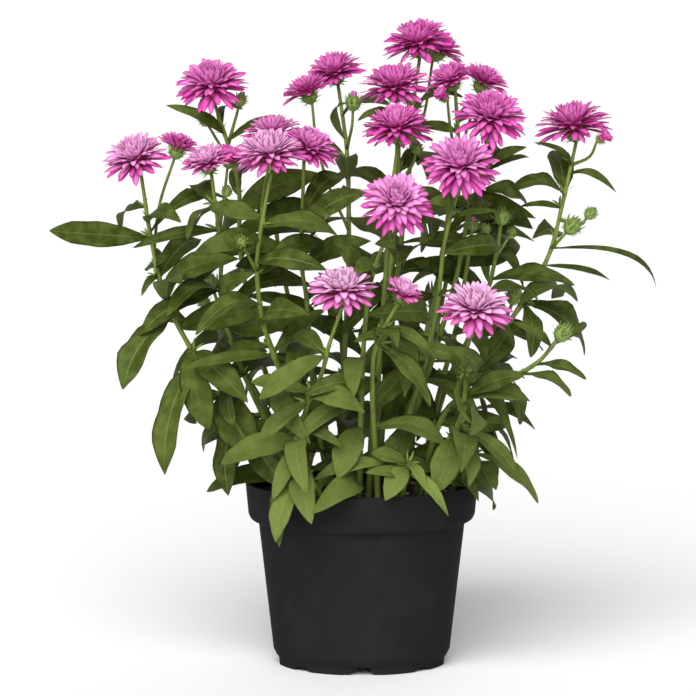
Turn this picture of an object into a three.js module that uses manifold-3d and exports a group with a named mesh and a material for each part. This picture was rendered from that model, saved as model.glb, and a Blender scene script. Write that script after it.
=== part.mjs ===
// Potted New York aster: a bushy plant with double pink flowers in a black nursery pot.
// Millimetres, +Z up. The origin is on the ground under the middle of the pot, and the front faces -Y.

import * as THREE from "three";
import { mergeVertices } from "three/addons/utils/BufferGeometryUtils.js";
import Module from "manifold-3d";

const wasm = await Module();
wasm.setup();

// Pot
const POT_SIDES = 28;
const POT_HEIGHT = 110;
const RIM_RADIUS = 70;
const COLLAR_BOTTOM = 90.6;
const COLLAR_RADIUS = 68.2;
const COLLAR_CORNER = { inset: 1.4, drop: 2.8 };
const SHOULDER_HEIGHT = 86;
const SHOULDER_RADIUS = 62.1;
const STEP_HEIGHT = 8.5;
const STEP_RADIUS = 53.3;
const FOOT_HEIGHT = 4.5;
const FOOT_RADIUS = 50.8;
const FOOT_WIDTH = 3.2;
const FOOT_DRAFT = 0.3;
const POT_WALL = 1.6;
const FLOOR_THICKNESS = 2;
const FLOOR_CORNER = 2;
const COLLAR_INSIDE_RISE = 2;
const SHOULDER_INSIDE_RISE = 1.5;
const NOTCH = { width: 18, topWidth: 9, height: 4 };
const SMALL_NOTCH = { width: 12, topWidth: 7.2, height: 2 };
const NOTCH_SIDE_SHARE = 0.3;
const NOTCH_REACH = { inwards: 10, outwards: 4 };
const DRAIN_RADIUS = 5;
const DRAIN_CIRCLE = 30;
const DRAIN_SIDES = 8;

// Soil
const SOIL_TOP = 102;
const SOIL_EDGE_DROP = 1.5;
const SOIL_EDGE_WIDTH = 9;
const SOIL_WIDENING = 0.5;
const SOIL_RISE = 0.6;
const HOLE_DEPTH = 4;
const HOLE_SIDES = 4;
const CLEARANCE = 0.35;

// Stems
const STEM_BASE_RADIUS = 2.3;
const STEM_TOP_RADIUS = 1.4;
const BRANCH_RADIUS = 1.3;
const BRANCH_TOP_RADIUS = 1.1;
const STEM_STEP = 40;
const STEM_SIDES = 4;
const STEM_SQUARENESS = 1.12;
const SHOOT_TIP = 2;

// Flower heads. A head of another size than the full one is scaled from these sizes.
// A tier of rays is the [share of the radius, height] of its tips and of the valleys between them.
const FULL_RADIUS = 20;
const PETAL_TIPS = 9;
const PETAL_TIERS = [
  { tip: [1, -2.6], valley: [0.62, -0.4], tipsOnOdd: false },
  { tip: [0.52, 3], valley: [0.46, 2.8], tipsOnOdd: false },
  { tip: [0.88, 6.2], valley: [0.54, 5.2], tipsOnOdd: true },
  { tip: [0.36, 8], valley: [0.42, 8], tipsOnOdd: true },
  { tip: [0.6, 13], valley: [0.38, 10.4], tipsOnOdd: false },
];
const HEAD_TOP = 10.5;
const RAY_SPREAD = 0.07;
const RAY_LIFT = 0.6;

// The green cup under a full head: [radius, height] below the rays
const CUP_DEPTH = 8;
const CUP_FOOT = [4, -6];
const CUP_BRACT = [6.6, -2.3];
const CUP_VALLEY = [4.6, -1.8];

// A closed bud, as shares of its radius
const BUD_NECK = 1.3;
const BUD_FOOT = [0.8, -0.7];
const BUD_BRACT = [1.2, 0.2];
const BUD_VALLEY = [0.8, 0.5];
const BUD_TOP = 1.25;

// Leaves
const LEAF_THICKNESS = 1.3;
const ROOT_THICKNESS = 1.9;
const LEAF_ROOT = 1.2;
const LEAF_FOLD = 0.16;
const LEAF_WAVE = 0.09;
const LEAF_GAP = 0.45;
const LARGE_LEAF = { stations: [0, 0.22, 0.5, 0.8, 1], halfWidths: [0, 0.66, 1, 0.62, 0] };
const SMALL_LEAF = { stations: [0, 0.3, 0.66, 1], halfWidths: [0, 0.86, 0.84, 0] };
const SMALL_LEAF_WIDTH = 9;
const GOLDEN_ANGLE = 2.39996;
const LEAF_LONGEST = 54;
const LEAF_SHORTEST = 28;
const YOUNG_SLENDERNESS = 0.36;
const OLD_SLENDERNESS = 0.32;
const LEAF_TWIST = 24;
const LEAF_ARCH = 0.15;
const LEAF_VARIATION = 0.12;
const FRONT_TILT = 0.7;
const OUTWARD_TILT = 0.6;
const LOWEST_LEAF = 118;
const LOWEST_VARIATION = 6;
const BARE_TOP = 12;
const LEAF_SPACING = 26;
const LEAF_FULL_GROWN = 110;
const GROWTH_POWER = 0.7;
const YOUNG_SLOPE = 0.4;
const OLD_SLOPE = -0.5;
const TURN_SHARE = 0.8;
const DARK_RADIUS = 28;
const DARK_HEIGHT = 215;
const REACH_BACK = 116;

// How far the leaves of the rule reach to the left and the right of the axis: [height, left, right]
const CROWN = [
  [0, -102, 104], [110, -102, 104], [150, -114, 110], [185, -130, 134], [225, -124, 130], [260, -118, 116],
  [300, -96, 90], [350, -66, 82], [450, -66, 82],
];

// What a leaf tries in turn until it has room: its size, its place in depth, its slope and its bearing
const LISTED_SIZES = [1, 0.86, 0.72];
const LISTED_DEPTHS = [0, -8, 8, -16, 16, -26, 26, -38, 38];
const RULE_SIZES = [1, 0.8];
const RULE_SLOPES = [0, 0.4, -0.3];
const RULE_SWINGS = [0, 26, -26, 52, -52, 78, -78, 104, -104, 140];

// Each stem starts in the soil at the first point of its route and ends at its head or bud.
// A bloom is [centre, radius, facing]; a bud is [centre, radius].
// A branch is [height it leaves the stem at, points on its way, its bloom or bud].
// A leaf is [height it leaves the stem at, tip, width, bend, turn about its own length in degrees].
const STEMS = {
  a: {
    route: [
      [-38, -6], [-60, -5, 135], [-82, -12, 164], [-100, -20, 189], [-117, -22, 223], [-125, -20, 255],
    ],
    bloom: [[-134, -20, 305], 19, [-0.3, -0.4, 0.87]],
    branches: [[250, [[-121, -4, 277]], { bloom: [[-111, 14, 308], 14, [0.3, 0.2, 0.93]] }]],
    leaves: [
      [259, [-184, -45, 266], 14, -0.02, -50],
      [212, [-143, -42, 172], 18, 0.16, 0],
      [186, [-119, -48, 122], 18, 0.14, 0],
      [194, [-91, -42, 147], 17, 0.14, 0],
      [166, [-64, -42, 132], 22, 0.2, 0],
      [153, [-81, -30, 106], 15, 0.16, 0],
      [277, [-146, 6, 265], 12, 0.16, 0],
      [262, [-78, 14, 281], 11, 0.2, 0],
      [241, [-113, -32, 250], 6, 0.1, 0],
      [236, [-131, -34, 227], 6, 0.1, 0],
    ],
  },
  b: {
    route: [[-36, 10], [-52, 5, 134], [-68, -5, 169], [-78, -15, 197], [-84, -22, 226], [-84, -25, 252]],
    bloom: [[-91, -36, 304], 15, [-0.3, -0.35, 0.89]],
    branches: [
      [262, [[-82, -12, 284]], { bloom: [[-79, 0, 303], 12, [0.3, -0.2, 0.93]] }],
      [268, [], { bud: [[-80, -28, 288], 3] }],
    ],
    leaves: [
      [264, [-135, -44, 257], 8, 0.08, 0],
      [228, [-133, -38, 206], 14, 0.12, 0],
      [243, [-112, -8, 216], 11, 0.12, 0],
    ],
  },
  c: {
    route: [[-30, 26], [-43, 30, 136], [-59, 40, 172], [-69, 45, 214], [-74, 42, 251], [-75, 35, 288]],
    bloom: [[-90, 22, 345], 20.5, [-0.1, -0.45, 0.89]],
    branches: [
      [310, [[-76, 32, 326]], { bud: [[-73, 37, 337], 3.5] }],
      [294, [[-86, 44, 309]], { bud: [[-95, 46, 324], 3.5] }],
    ],
    leaves: [
      [316, [-116, 12, 336], 7, 0.1, 0],
      [312, [-52, 22, 329], 6, 0.1, 0],
    ],
  },
  d: {
    route: [
      [-26, -18], [-37, -20, 138], [-46, -32, 172], [-58, -48, 210], [-62, -55, 241], [-60, -59, 265],
    ],
    bloom: [[-54, -63, 311], 20.5, [-0.1, -0.3, 0.95]],
    branches: [
      [262, [[-58, -34, 290]], { bloom: [[-53, -8, 318], 17.5, [-0.1, 0, 0.99]] }],
      [243, [[-67, -68, 254]], { bud: [[-71, -77, 263], 3] }],
    ],
    leaves: [
      [191, [-105, -50, 185], 8, 0.1, 0],
      [192, [-22, -28, 217], 10, 0.1, 0],
    ],
  },
  e: {
    route: [[-18, 4], [-26, 0, 141], [-30, -8, 178], [-33, -16, 221], [-36, -22, 248]],
    bloom: [[-32, -37, 313], 17, [0.35, -0.3, 0.89]],
    branches: [],
    leaves: [],
  },
  f: {
    route: [[-12, 30], [-13, 32, 142], [-10, 38, 190], [-8, 42, 239], [-8, 46, 275], [-9, 48, 305]],
    bloom: [[-16, 60, 350], 17, [-0.25, -0.25, 0.94]],
    branches: [
      [257, [[-19, 38, 282], [-27, 30, 310]], { bloom: [[-32, 24, 341], 15.5, [-0.35, 0, 0.94]] }],
      [306, [[-6, 36, 320]], { bud: [[-5, 33, 336], 4.5] }],
    ],
    leaves: [[311, [-10, 15, 337], 6, 0.14, 0]],
  },
  g: {
    route: [[8, 24], [11, 27, 143], [18, 33, 198], [24, 37, 252], [29, 40, 295], [31, 42, 331]],
    bloom: [[34, 42, 369], 20, [-0.12, -0.3, 0.95]],
    branches: [[307, [[38, 54, 327]], { bloom: [[46, 73, 363], 16, [0.45, 0.1, 0.89]] }]],
    leaves: [[329, [60, 24, 341], 9, 0.2, 0]],
  },
  h: {
    route: [[4, 2], [6, 0, 141], [11, 0, 189], [17, 3, 237], [21, 4, 279], [22, 2, 309]],
    bloom: [[20, -2, 346], 20, [-0.1, -0.2, 0.97]],
    branches: [[288, [[30, -6, 301]], { bud: [[33, -14, 312], 3] }]],
    leaves: [],
  },
  i: {
    route: [[20, 16], [26, 18, 144], [38, 22, 192], [48, 25, 241], [54, 27, 283], [58, 28, 308]],
    bloom: [[54, 15, 349], 14.5, [-0.35, -0.35, 0.87]],
    branches: [
      [300, [[64, 38, 320]], { bloom: [[73, 48, 345], 15.5, [0.4, 0, 0.92]] }],
      [300, [[53, 6, 322]], { bloom: [[49, -10, 342], 8, [-0.6, -0.45, 0.66]] }],
    ],
    leaves: [[318, [30, 22, 322], 8, 0.12, 0]],
  },
  j: {
    route: [[20, 0], [29, 0, 141], [44, -5, 190], [56, -8, 232], [63, -10, 269], [70, -11, 293]],
    bloom: [[76, -17, 329], 21, [0.1, -0.5, 0.86]],
    branches: [],
    leaves: [
      [300, [98, -14, 313], 7, 0.16, 0],
      [284, [100, 2, 276], 12, 0.26, 0],
      [296, [102, 14, 306], 4, 0.1, 0],
    ],
  },
  k: {
    route: [[4, -20], [6, -22, 138], [10, -30, 181], [13, -32, 223], [15, -31, 253], [17, -30, 282]],
    bloom: [[21, -33, 324], 19.5, [-0.05, -0.25, 0.97]],
    branches: [],
    leaves: [],
  },
  l: {
    route: [[20, -16], [26, -20, 144], [38, -28, 187], [45, -34, 223], [49, -38, 259]],
    bloom: [[58, -47, 303], 21.5, [-0.05, -0.6, 0.8]],
    branches: [],
    leaves: [
      [186, [6, -50, 160], 13, 0.16, 0],
      [272, [80, -55, 279], 5, 0.12, 0],
    ],
  },
  m: {
    route: [[-2, -40], [-1, -48, 141], [0, -58, 179], [2, -63, 215], [7, -67, 245]],
    bloom: [[20, -76, 284], 20.5, [0.05, -0.68, 0.73]],
    branches: [],
    leaves: [
      [150, [-14, -74, 123], 16, 0.2, 0],
      [228, [-14, -80, 262], 14, 0.12, 0],
    ],
  },
  n: {
    route: [
      [32, 6], [41, 6, 134], [59, 8, 158], [77, 12, 188], [99, 18, 219], [113, 21, 245], [120, 24, 271],
    ],
    bloom: [[128, 29, 320], 21, [-0.15, -0.15, 0.98]],
    branches: [
      [298, [[137, 18, 304]], { bloom: [[143, 4, 316], 8, [0.75, -0.35, 0.56]] }],
      [248, [[121, 16, 256]], { bud: [[127, 14, 263], 5] }],
      [266, [[131, 20, 262]], { bud: [[138, 19, 270], 3.5] }],
    ],
    leaves: [
      [216, [138, 34, 184], 21, 0.16, 0],
      [216, [103, -6, 187], 12, 0.14, 0],
      [238, [153, 56, 226], 5, 0.06, 0],
      [298, [104, 16, 313], 5, 0.1, 0],
      [280, [117, 48, 305], 14, 0.12, 0],
      [292, [153, 14, 284], 6, 0.26, 0],
      [272, [96, 10, 276], 5, 0.1, 0],
      [248, [181, 58, 221], 5, 0.16, 0],
    ],
  },
  o: {
    route: [[34, -16], [41, -20, 132], [52, -25, 158], [72, -28, 170], [88, -30, 176], [105, -31, 186]],
    bud: [[120, -32, 204], 5],
    branches: [],
    leaves: [
      [195, [90, -44, 212], 6, 0.1, 0],
      [196, [136, -22, 207], 5, 0.1, 0],
      [184, [133, -46, 178], 9, 0.12, 0],
      [178, [124, -56, 172], 12, 0.1, 0],
      [174, [94, -44, 150], 13, 0.16, 0],
      [168, [93, -58, 134], 5, 0.16, 0],
      [158, [62, -62, 122], 14, 0.2, 0],
    ],
  },
  p: {
    route: [[36, -36], [46, -50, 130], [58, -64, 156], [61, -74, 178], [60, -82, 194]],
    bloom: [[66, -102, 224], 20.5, [0.05, -0.45, 0.89]],
    branches: [],
    leaves: [
      [145, [44, -78, 115], 16, 0.2, 0],
      [186, [62, -96, 158], 8, 0.1, 70],
      [170, [94, -82, 186], 11, 0.12, 0],
      [152, [95, -66, 120], 9, 0.18, 0],
    ],
  },
  q: {
    route: [[10, -46], [7, -56, 150], [6, -70, 182], [9, -81, 204]],
    bloom: [[23, -86, 232], 12.5, [0.35, -0.45, 0.82]],
    branches: [],
    leaves: [
      [203, [41, -98, 170], 12, 0.14, 0],
      [212, [43, -104, 199], 8, 0.12, 0],
      [208, [-4, -98, 207], 7, 0.1, 0],
    ],
  },
  r: {
    route: [
      [-28, -40], [-35, -52, 124], [-35, -60, 149], [-32, -66, 166], [-24, -75, 184], [-19, -84, 204],
    ],
    bloom: [[-11, -98, 235], 19, [0, -0.4, 0.92]],
    branches: [],
    leaves: [
      [196, [-60, -97, 174], 12, 0.12, 0],
      [172, [-66, -60, 178], 10, 0.12, 0],
      [166, [-60, -88, 148], 10, 0.12, 0],
      [150, [-11, -80, 142], 8, 0.12, 0],
      [142, [-52, -86, 114], 10, 0.16, 0],
    ],
  },
  s: {
    route: [[36, 22], [42, 20, 140], [50, 8, 175], [57, 0, 205], [62, -9, 236]],
    bud: [[66, -18, 267], 3.5],
    branches: [],
    leaves: [],
  },
  t: {
    route: [[34, 32], [44, 28, 140], [54, 22, 172], [67, 19, 199], [76, 15, 224], [81, 8, 248]],
    bud: [[84, 1, 270], 4.5],
    branches: [
      [248, [], { bud: [[74, 6, 262], 3] }],
      [244, [], { bud: [[90, 10, 259], 3] }],
    ],
    leaves: [
      [230, [127, 0, 231], 13, 0.12, 0],
      [223, [33, 10, 243], 12, 0.12, 0],
    ],
  },
  u: {
    route: [[28, 38], [34, 60, 150], [46, 76, 195], [55, 84, 238]],
    bloom: [[62, 94, 288], 20, [0.2, 0.45, 0.87]],
    branches: [],
    leaves: [],
  },
  v: {
    route: [[-18, 42], [-25, 66, 150], [-42, 82, 200], [-52, 90, 248]],
    bloom: [[-56, 94, 299], 20, [-0.2, 0.4, 0.89]],
    branches: [],
    leaves: [],
  },
  w: {
    route: [[10, 48], [14, 72, 149], [18, 88, 208], [21, 93, 265]],
    bloom: [[22, 96, 312], 20, [0.05, 0.4, 0.91]],
    branches: [],
    leaves: [],
  },
  x: {
    route: [[-4, 50], [-9, 70, 145], [-12, 86, 178]],
    bloom: [[-13, 100, 212], 19, [0, 0.55, 0.83]],
    branches: [],
    leaves: [],
  },
  y: {
    route: [[-38, 36], [-56, 50, 142], [-78, 62, 180]],
    bud: [[-92, 68, 222], 5],
    branches: [[192, [], { bud: [[-96, 54, 212], 3.5] }]],
    leaves: [],
  },
  z: {
    route: [[42, 40], [58, 52, 138], [78, 64, 172]],
    bud: [[94, 74, 214], 5],
    branches: [[186, [], { bud: [[72, 80, 204], 3.5] }]],
    leaves: [],
  },
};

// Young shoots without flowers, close to the rim: the last point of the route is the tip of the stem.
const SHOOTS = {
  front: {
    route: [[22, -50], [25, -58, 116], [28, -62, 132]],
    leaves: [
      [128, [6, -68, 137], 11, 0.12, 0],
      [127, [14, -79, 111], 12, 0.2, 0],
      [129, [38, -80, 115], 8, 0.16, 0],
      [124, [51, -79, 101], 8, 0.2, 0],
    ],
  },
  rim: {
    route: [[-22, -48], [-26, -54, 112], [-34, -61, 126]],
    leaves: [
      [124, [-51, -89, 87], 14, 0.2, 0],
      [122, [-30, -93, 99], 15, 0.34, 0],
      [118, [13, -74, 131], 10, 0.2, 0],
    ],
  },
  right: {
    route: [[50, -18], [60, -20, 118], [67, -22, 132]],
    leaves: [
      [130, [107, -26, 102], 10, 0.16, 0],
      [126, [80, -46, 112], 10, 0.16, 0],
    ],
  },
};

// Colours
const PETAL_PINK = "#d7559f";
const LEAF_GREEN = "#4f6230";
const SHOOT_GREEN = "#76924a";
const SOIL_BROWN = "#33261c";
const POT_BLACK = "#242528";

// Vectors and curves

const vector = (p) => new THREE.Vector3(p[0], p[1], p[2]);

// A repeatable draw between -1 and 1 for the number n.
const DRAW_STEP = 12.9898;
const DRAW_SCALE = 43758.5453;

function draw(n) {
  const wave = Math.sin(n * DRAW_STEP) * DRAW_SCALE;
  return 2 * (wave - Math.floor(wave)) - 1;
}

// Two unit vectors across a direction. The first lies as near to X as it can, or to Y beside X.
const NEAR_X = 0.92;

function across(direction) {
  const level = Math.abs(direction.x) > NEAR_X ? vector([0, 1, 0]) : vector([1, 0, 0]);
  const first = level.addScaledVector(direction, -level.dot(direction)).normalize();
  return [first, direction.clone().cross(first)];
}

// The point and the direction of a stem's axis at a height. The axis is a row of points.
function axisAt(axis, height) {
  let i = 1;
  while (i < axis.length - 1 && axis[i].z < height) {
    i += 1;
  }
  const [low, high] = [axis[i - 1], axis[i]];
  const share = (height - low.z) / (high.z - low.z);
  return { point: low.clone().lerp(high, share), direction: high.clone().sub(low).normalize() };
}

// Solids

// A closed body through rings of points. A ring of one point is a tip, and a ring may have twice the
// points of the one before it. An end that is no tip gets a fan.
function loft(rings) {
  const points = [];
  const index = [];
  const starts = rings.map((ring) => {
    points.push(...ring);
    return points.length - ring.length;
  });
  for (let i = 0; i + 1 < rings.length; i += 1) {
    const [a, b] = [starts[i], starts[i + 1]];
    const count = Math.max(rings[i].length, rings[i + 1].length);
    for (let k = 0; k < count; k += 1) {
      const next = (k + 1) % count;
      if (rings[i + 1].length === 2 * rings[i].length && rings[i].length > 1) {
        if (k % 2 === 0) {
          const corner = a + k / 2;
          const nextCorner = a + ((k / 2 + 1) % rings[i].length);
          index.push(corner, b + next, b + k, corner, nextCorner, b + next);
          index.push(nextCorner, b + ((k + 2) % count), b + next);
        }
      } else if (rings[i].length === 1) {
        index.push(a, b + next, b + k);
      } else if (rings[i + 1].length === 1) {
        index.push(a + k, a + next, b);
      } else if (k % 2 === 0) {
        index.push(a + k, a + next, b + next, a + k, b + next, b + k);
      } else {
        index.push(a + k, a + next, b + k, a + next, b + next, b + k);
      }
    }
  }
  const last = starts[starts.length - 1];
  for (let k = 1; k + 1 < rings[0].length; k += 1) {
    index.push(0, k + 1, k);
  }
  for (let k = 1; k + 1 < rings[rings.length - 1].length; k += 1) {
    index.push(last, last + k, last + k + 1);
  }
  const coordinates = points.flatMap((p) => p.toArray());
  const geometry = new THREE.BufferGeometry();
  geometry.setAttribute("position", new THREE.Float32BufferAttribute(coordinates, 3));
  geometry.setIndex(index);
  return geometry;
}

const MERGE_DISTANCE = 1e-4;

function toSolid(geometry) {
  const plain = geometry.clone();
  plain.deleteAttribute("normal");
  plain.deleteAttribute("uv");
  const merged = mergeVertices(plain, MERGE_DISTANCE);
  const vertProperties = Float32Array.from(merged.attributes.position.array);
  const triVerts = Uint32Array.from(merged.index.array);
  return new wasm.Manifold(new wasm.Mesh({ numProp: 3, vertProperties, triVerts }));
}

function toGeometry(solid) {
  const mesh = solid.getMesh();
  const geometry = new THREE.BufferGeometry();
  geometry.setAttribute("position", new THREE.Float32BufferAttribute(mesh.vertProperties, 3));
  geometry.setIndex(Array.from(mesh.triVerts));
  return geometry;
}

function ringAround(centre, direction, radius, sides) {
  const [first, second] = across(direction);
  const ring = [];
  for (let k = 0; k < sides; k += 1) {
    const angle = (2 * Math.PI * (k + 0.5)) / sides;
    ring.push(
      centre.clone()
        .addScaledVector(first, radius * Math.cos(angle))
        .addScaledVector(second, radius * Math.sin(angle)),
    );
  }
  return ring;
}

// A tapered stem with four sides along its axis, which ends in the rings of its cup or bud or in a tip.
function stemSolid(axis, baseRadius, topRadius, endRings, isRooted) {
  const last = axis.length - 1;
  const rings = axis.map((point, i) => {
    const radius = baseRadius + ((topRadius - baseRadius) * i) / last;
    const direction = axis[Math.min(i + 1, last)].clone().sub(axis[Math.max(i - 1, 0)]).normalize();
    const facing = isRooted && i === 0 ? vector([0, 0, 1]) : direction;
    return ringAround(point, facing, radius * STEM_SQUARENESS, STEM_SIDES);
  });
  return toSolid(loft([...rings, ...endRings]));
}

// A leaf blade: folded along its rib, arched, and waved along both edges.
function bladeGeometry(leaf) {
  const { stations, halfWidths } = leaf.outline;
  const chord = leaf.tip.clone().sub(leaf.base);
  const length = chord.length();
  const along = chord.divideScalar(length);
  const side = along.clone().cross(leaf.face).normalize();
  side.applyAxisAngle(along, leaf.turn);
  const up = side.clone().cross(along);
  const rings = stations.map((s, i) => {
    const rise = leaf.bend * 4 * s * (1 - s) * length;
    const centre = leaf.base.clone().addScaledVector(along, length * s).addScaledVector(up, rise);
    if (i === 0) {
      return [centre.addScaledVector(along, -LEAF_ROOT)];
    }
    if (s === 1) {
      return [centre];
    }
    const slope = leaf.bend * 4 * (1 - 2 * s);
    const normal = up.clone().addScaledVector(along, -slope).normalize();
    const half = (leaf.width / 2) * halfWidths[i];
    const wave = LEAF_WAVE * leaf.width * (i % 2 === 0 ? 1 : -1);
    const rib = (i === 1 ? ROOT_THICKNESS : LEAF_THICKNESS) / 2;
    const lift = LEAF_FOLD * leaf.width * halfWidths[i];
    const left = centre.clone().addScaledVector(side, -half).addScaledVector(normal, lift + wave);
    const right = centre.clone().addScaledVector(side, half).addScaledVector(normal, lift - wave);
    const top = centre.clone().addScaledVector(normal, rib);
    const bottom = centre.clone().addScaledVector(normal, -rib);
    return [left, top, right, bottom];
  });
  return loft(rings);
}

// Places a profile of rings, given in the head's own frame, on its centre and facing.
function placed(rings, centre, facing) {
  const [first, second] = across(facing);
  return rings.map((ring) => ring.map(([x, y, z]) => centre.clone()
    .addScaledVector(first, x)
    .addScaledVector(second, y)
    .addScaledVector(facing, z)));
}

// A ring that goes out to the tips of its rays and back to the valleys between them.
function starRing({ tip, valley, tipsOnOdd }, radius, seed) {
  const size = radius / FULL_RADIUS;
  const points = 2 * PETAL_TIPS;
  const ring = [];
  for (let k = 0; k < points; k += 1) {
    const isTip = (k % 2 === 1) === tipsOnOdd;
    const [share, height] = isTip ? tip : valley;
    const reach = share * radius * (isTip ? 1 + RAY_SPREAD * draw(seed + k) : 1);
    const lift = isTip ? RAY_LIFT * draw(seed + points + k) : 0;
    const angle = (2 * Math.PI * k) / points;
    ring.push([reach * Math.cos(angle), reach * Math.sin(angle), (height + lift) * size]);
  }
  return ring;
}

// A flower head: tiers of pointed rays round a low dome.
function bloomGeometry(centre, radius, facing, seed) {
  const tiers = PETAL_TIERS.map((tier, i) => starRing(tier, radius, seed + 7 * i));
  const top = [[0, 0, (HEAD_TOP * radius) / FULL_RADIUS]];
  return loft(placed([[[0, 0, 0]], ...tiers, top], centre, facing));
}

// Four corners at one height in a head's own frame.
function square([radius, height], size) {
  return [0, 1, 2, 3].map((k) => {
    const angle = ((k + 0.5) * Math.PI) / 2;
    return [radius * size * Math.cos(angle), radius * size * Math.sin(angle), height * size];
  });
}

// Eight points in a head's own frame: four bracts and the valleys between them.
function bracts(tip, valley, size) {
  return [0, 1, 2, 3, 4, 5, 6, 7].map((k) => {
    const [radius, height] = k % 2 === 0 ? tip : valley;
    const angle = ((k + 0.5) * Math.PI) / 4;
    return [radius * size * Math.cos(angle), radius * size * Math.sin(angle), height * size];
  });
}

// The green cup under a head, with its bracts: it ends just below the rays.
function cupRings(centre, radius, facing) {
  const size = radius / FULL_RADIUS;
  const rings = [square(CUP_FOOT, size), bracts(CUP_BRACT, CUP_VALLEY, size), [[0, 0, -CLEARANCE]]];
  return placed(rings, centre, facing);
}

// A closed bud: a round head covered by pointed bracts.
function budRings(centre, radius, facing) {
  const rings = [
    square(BUD_FOOT, radius),
    bracts(BUD_BRACT, BUD_VALLEY, radius),
    [[0, 0, BUD_TOP * radius]],
  ];
  return placed(rings, centre, facing);
}

// Pot and soil

function lathe(profile) {
  return toSolid(new THREE.LatheGeometry(profile.map(([r, z]) => new THREE.Vector2(r, z)), POT_SIDES)
    .rotateX(Math.PI / 2));
}

// A notch through the foot ring: a low arch that runs out from the axis.
function notch({ width, topWidth, height }, angle) {
  const arch = new THREE.Shape();
  arch.moveTo(-width / 2, -height);
  arch.lineTo(width / 2, -height);
  arch.lineTo(width / 2, height * NOTCH_SIDE_SHARE);
  arch.lineTo(topWidth / 2, height);
  arch.lineTo(-topWidth / 2, height);
  arch.lineTo(-width / 2, height * NOTCH_SIDE_SHARE);
  arch.closePath();
  const depth = NOTCH_REACH.inwards + NOTCH_REACH.outwards;
  const geometry = new THREE.ExtrudeGeometry(arch, { depth, bevelEnabled: false });
  geometry.rotateX(Math.PI / 2);
  geometry.translate(0, -FOOT_RADIUS + NOTCH_REACH.inwards, 0);
  geometry.rotateZ(angle);
  return toSolid(geometry);
}

function potSolid() {
  const inner = (radius) => radius - POT_WALL;
  const floor = FOOT_HEIGHT + FLOOR_THICKNESS;
  let pot = lathe([
    [0, FOOT_HEIGHT],
    [FOOT_RADIUS - FOOT_WIDTH - FOOT_DRAFT, FOOT_HEIGHT],
    [FOOT_RADIUS - FOOT_WIDTH, 0],
    [FOOT_RADIUS, 0],
    [FOOT_RADIUS + FOOT_DRAFT, FOOT_HEIGHT],
    [STEP_RADIUS, STEP_HEIGHT],
    [SHOULDER_RADIUS, SHOULDER_HEIGHT],
    [COLLAR_RADIUS - COLLAR_CORNER.inset, COLLAR_BOTTOM - COLLAR_CORNER.drop],
    [COLLAR_RADIUS, COLLAR_BOTTOM],
    [RIM_RADIUS, POT_HEIGHT],
    [inner(RIM_RADIUS), POT_HEIGHT],
    [inner(COLLAR_RADIUS), COLLAR_BOTTOM + COLLAR_INSIDE_RISE],
    [inner(SHOULDER_RADIUS), SHOULDER_HEIGHT + SHOULDER_INSIDE_RISE],
    [inner(STEP_RADIUS), floor + FLOOR_CORNER],
    [inner(STEP_RADIUS) - FLOOR_CORNER, floor],
    [0, floor],
  ]);
  for (let quarter = 0; quarter < 4; quarter += 1) {
    const angle = (quarter * Math.PI) / 2;
    const between = angle + Math.PI / 4;
    const drain = new THREE.CylinderGeometry(DRAIN_RADIUS, DRAIN_RADIUS, 2 * floor, DRAIN_SIDES);
    drain.rotateX(Math.PI / 2);
    drain.translate(0, DRAIN_CIRCLE, FOOT_HEIGHT);
    drain.rotateZ(between);
    pot = pot.subtract(notch(NOTCH, angle)).subtract(notch(SMALL_NOTCH, between)).subtract(toSolid(drain));
  }
  return pot;
}

// The filling of the pot, with a plain hole for each stem.
function soilSolid(axes) {
  const inside = (radius) => radius - POT_WALL - CLEARANCE;
  const floor = FOOT_HEIGHT + FLOOR_THICKNESS + CLEARANCE;
  let soil = lathe([
    [0, floor],
    [inside(STEP_RADIUS) - FLOOR_CORNER - CLEARANCE, floor],
    [inside(STEP_RADIUS), floor + FLOOR_CORNER + CLEARANCE],
    [inside(SHOULDER_RADIUS), SHOULDER_HEIGHT + SHOULDER_INSIDE_RISE + SOIL_RISE],
    [inside(COLLAR_RADIUS), COLLAR_BOTTOM + COLLAR_INSIDE_RISE + SOIL_RISE],
    [inside(COLLAR_RADIUS) + SOIL_WIDENING, SOIL_TOP - SOIL_EDGE_DROP],
    [inside(COLLAR_RADIUS) - SOIL_EDGE_WIDTH, SOIL_TOP],
    [0, SOIL_TOP],
  ]);
  axes.forEach((axis) => {
    const start = axis[0];
    const exit = axisAt(axis, SOIL_TOP).point;
    const lean = Math.hypot(exit.x - start.x, exit.y - start.y);
    const clear = STEM_SQUARENESS * STEM_BASE_RADIUS + CLEARANCE + lean / 2;
    const radius = clear / Math.cos(Math.PI / HOLE_SIDES);
    const hole = new THREE.CylinderGeometry(radius, radius, 2 * HOLE_DEPTH, HOLE_SIDES);
    hole.rotateY(Math.PI / 4);
    hole.rotateX(Math.PI / 2);
    hole.translate((start.x + exit.x) / 2, (start.y + exit.y) / 2, SOIL_TOP);
    soil = soil.subtract(toSolid(hole));
  });
  return soil;
}

// Placing the leaves

// Every finished piece of a node, kept for the test of room.
const pieces = [];

function keep(owner, kind, solid) {
  pieces.push({ owner, kind, solid, box: solid.boundingBox() });
  return solid;
}

function boxesMeet(a, b, margin) {
  return [0, 1, 2].every((i) => a.min[i] - margin < b.max[i] && b.min[i] - margin < a.max[i]);
}

// How much of each other two pieces of the same node may share: a leaf only its root.
const SHARED_VOLUME = { stem: 3.5, leaf: 1.5 };

function hasRoom(owner, solid) {
  const box = solid.boundingBox();
  return pieces.every((piece) => {
    if (!boxesMeet(box, piece.box, LEAF_GAP)) {
      return true;
    }
    if (piece.owner === owner) {
      return solid.intersect(piece.solid).volume() < SHARED_VOLUME[piece.kind];
    }
    return solid.minGap(piece.solid, 2 * LEAF_GAP) >= LEAF_GAP;
  });
}

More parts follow.
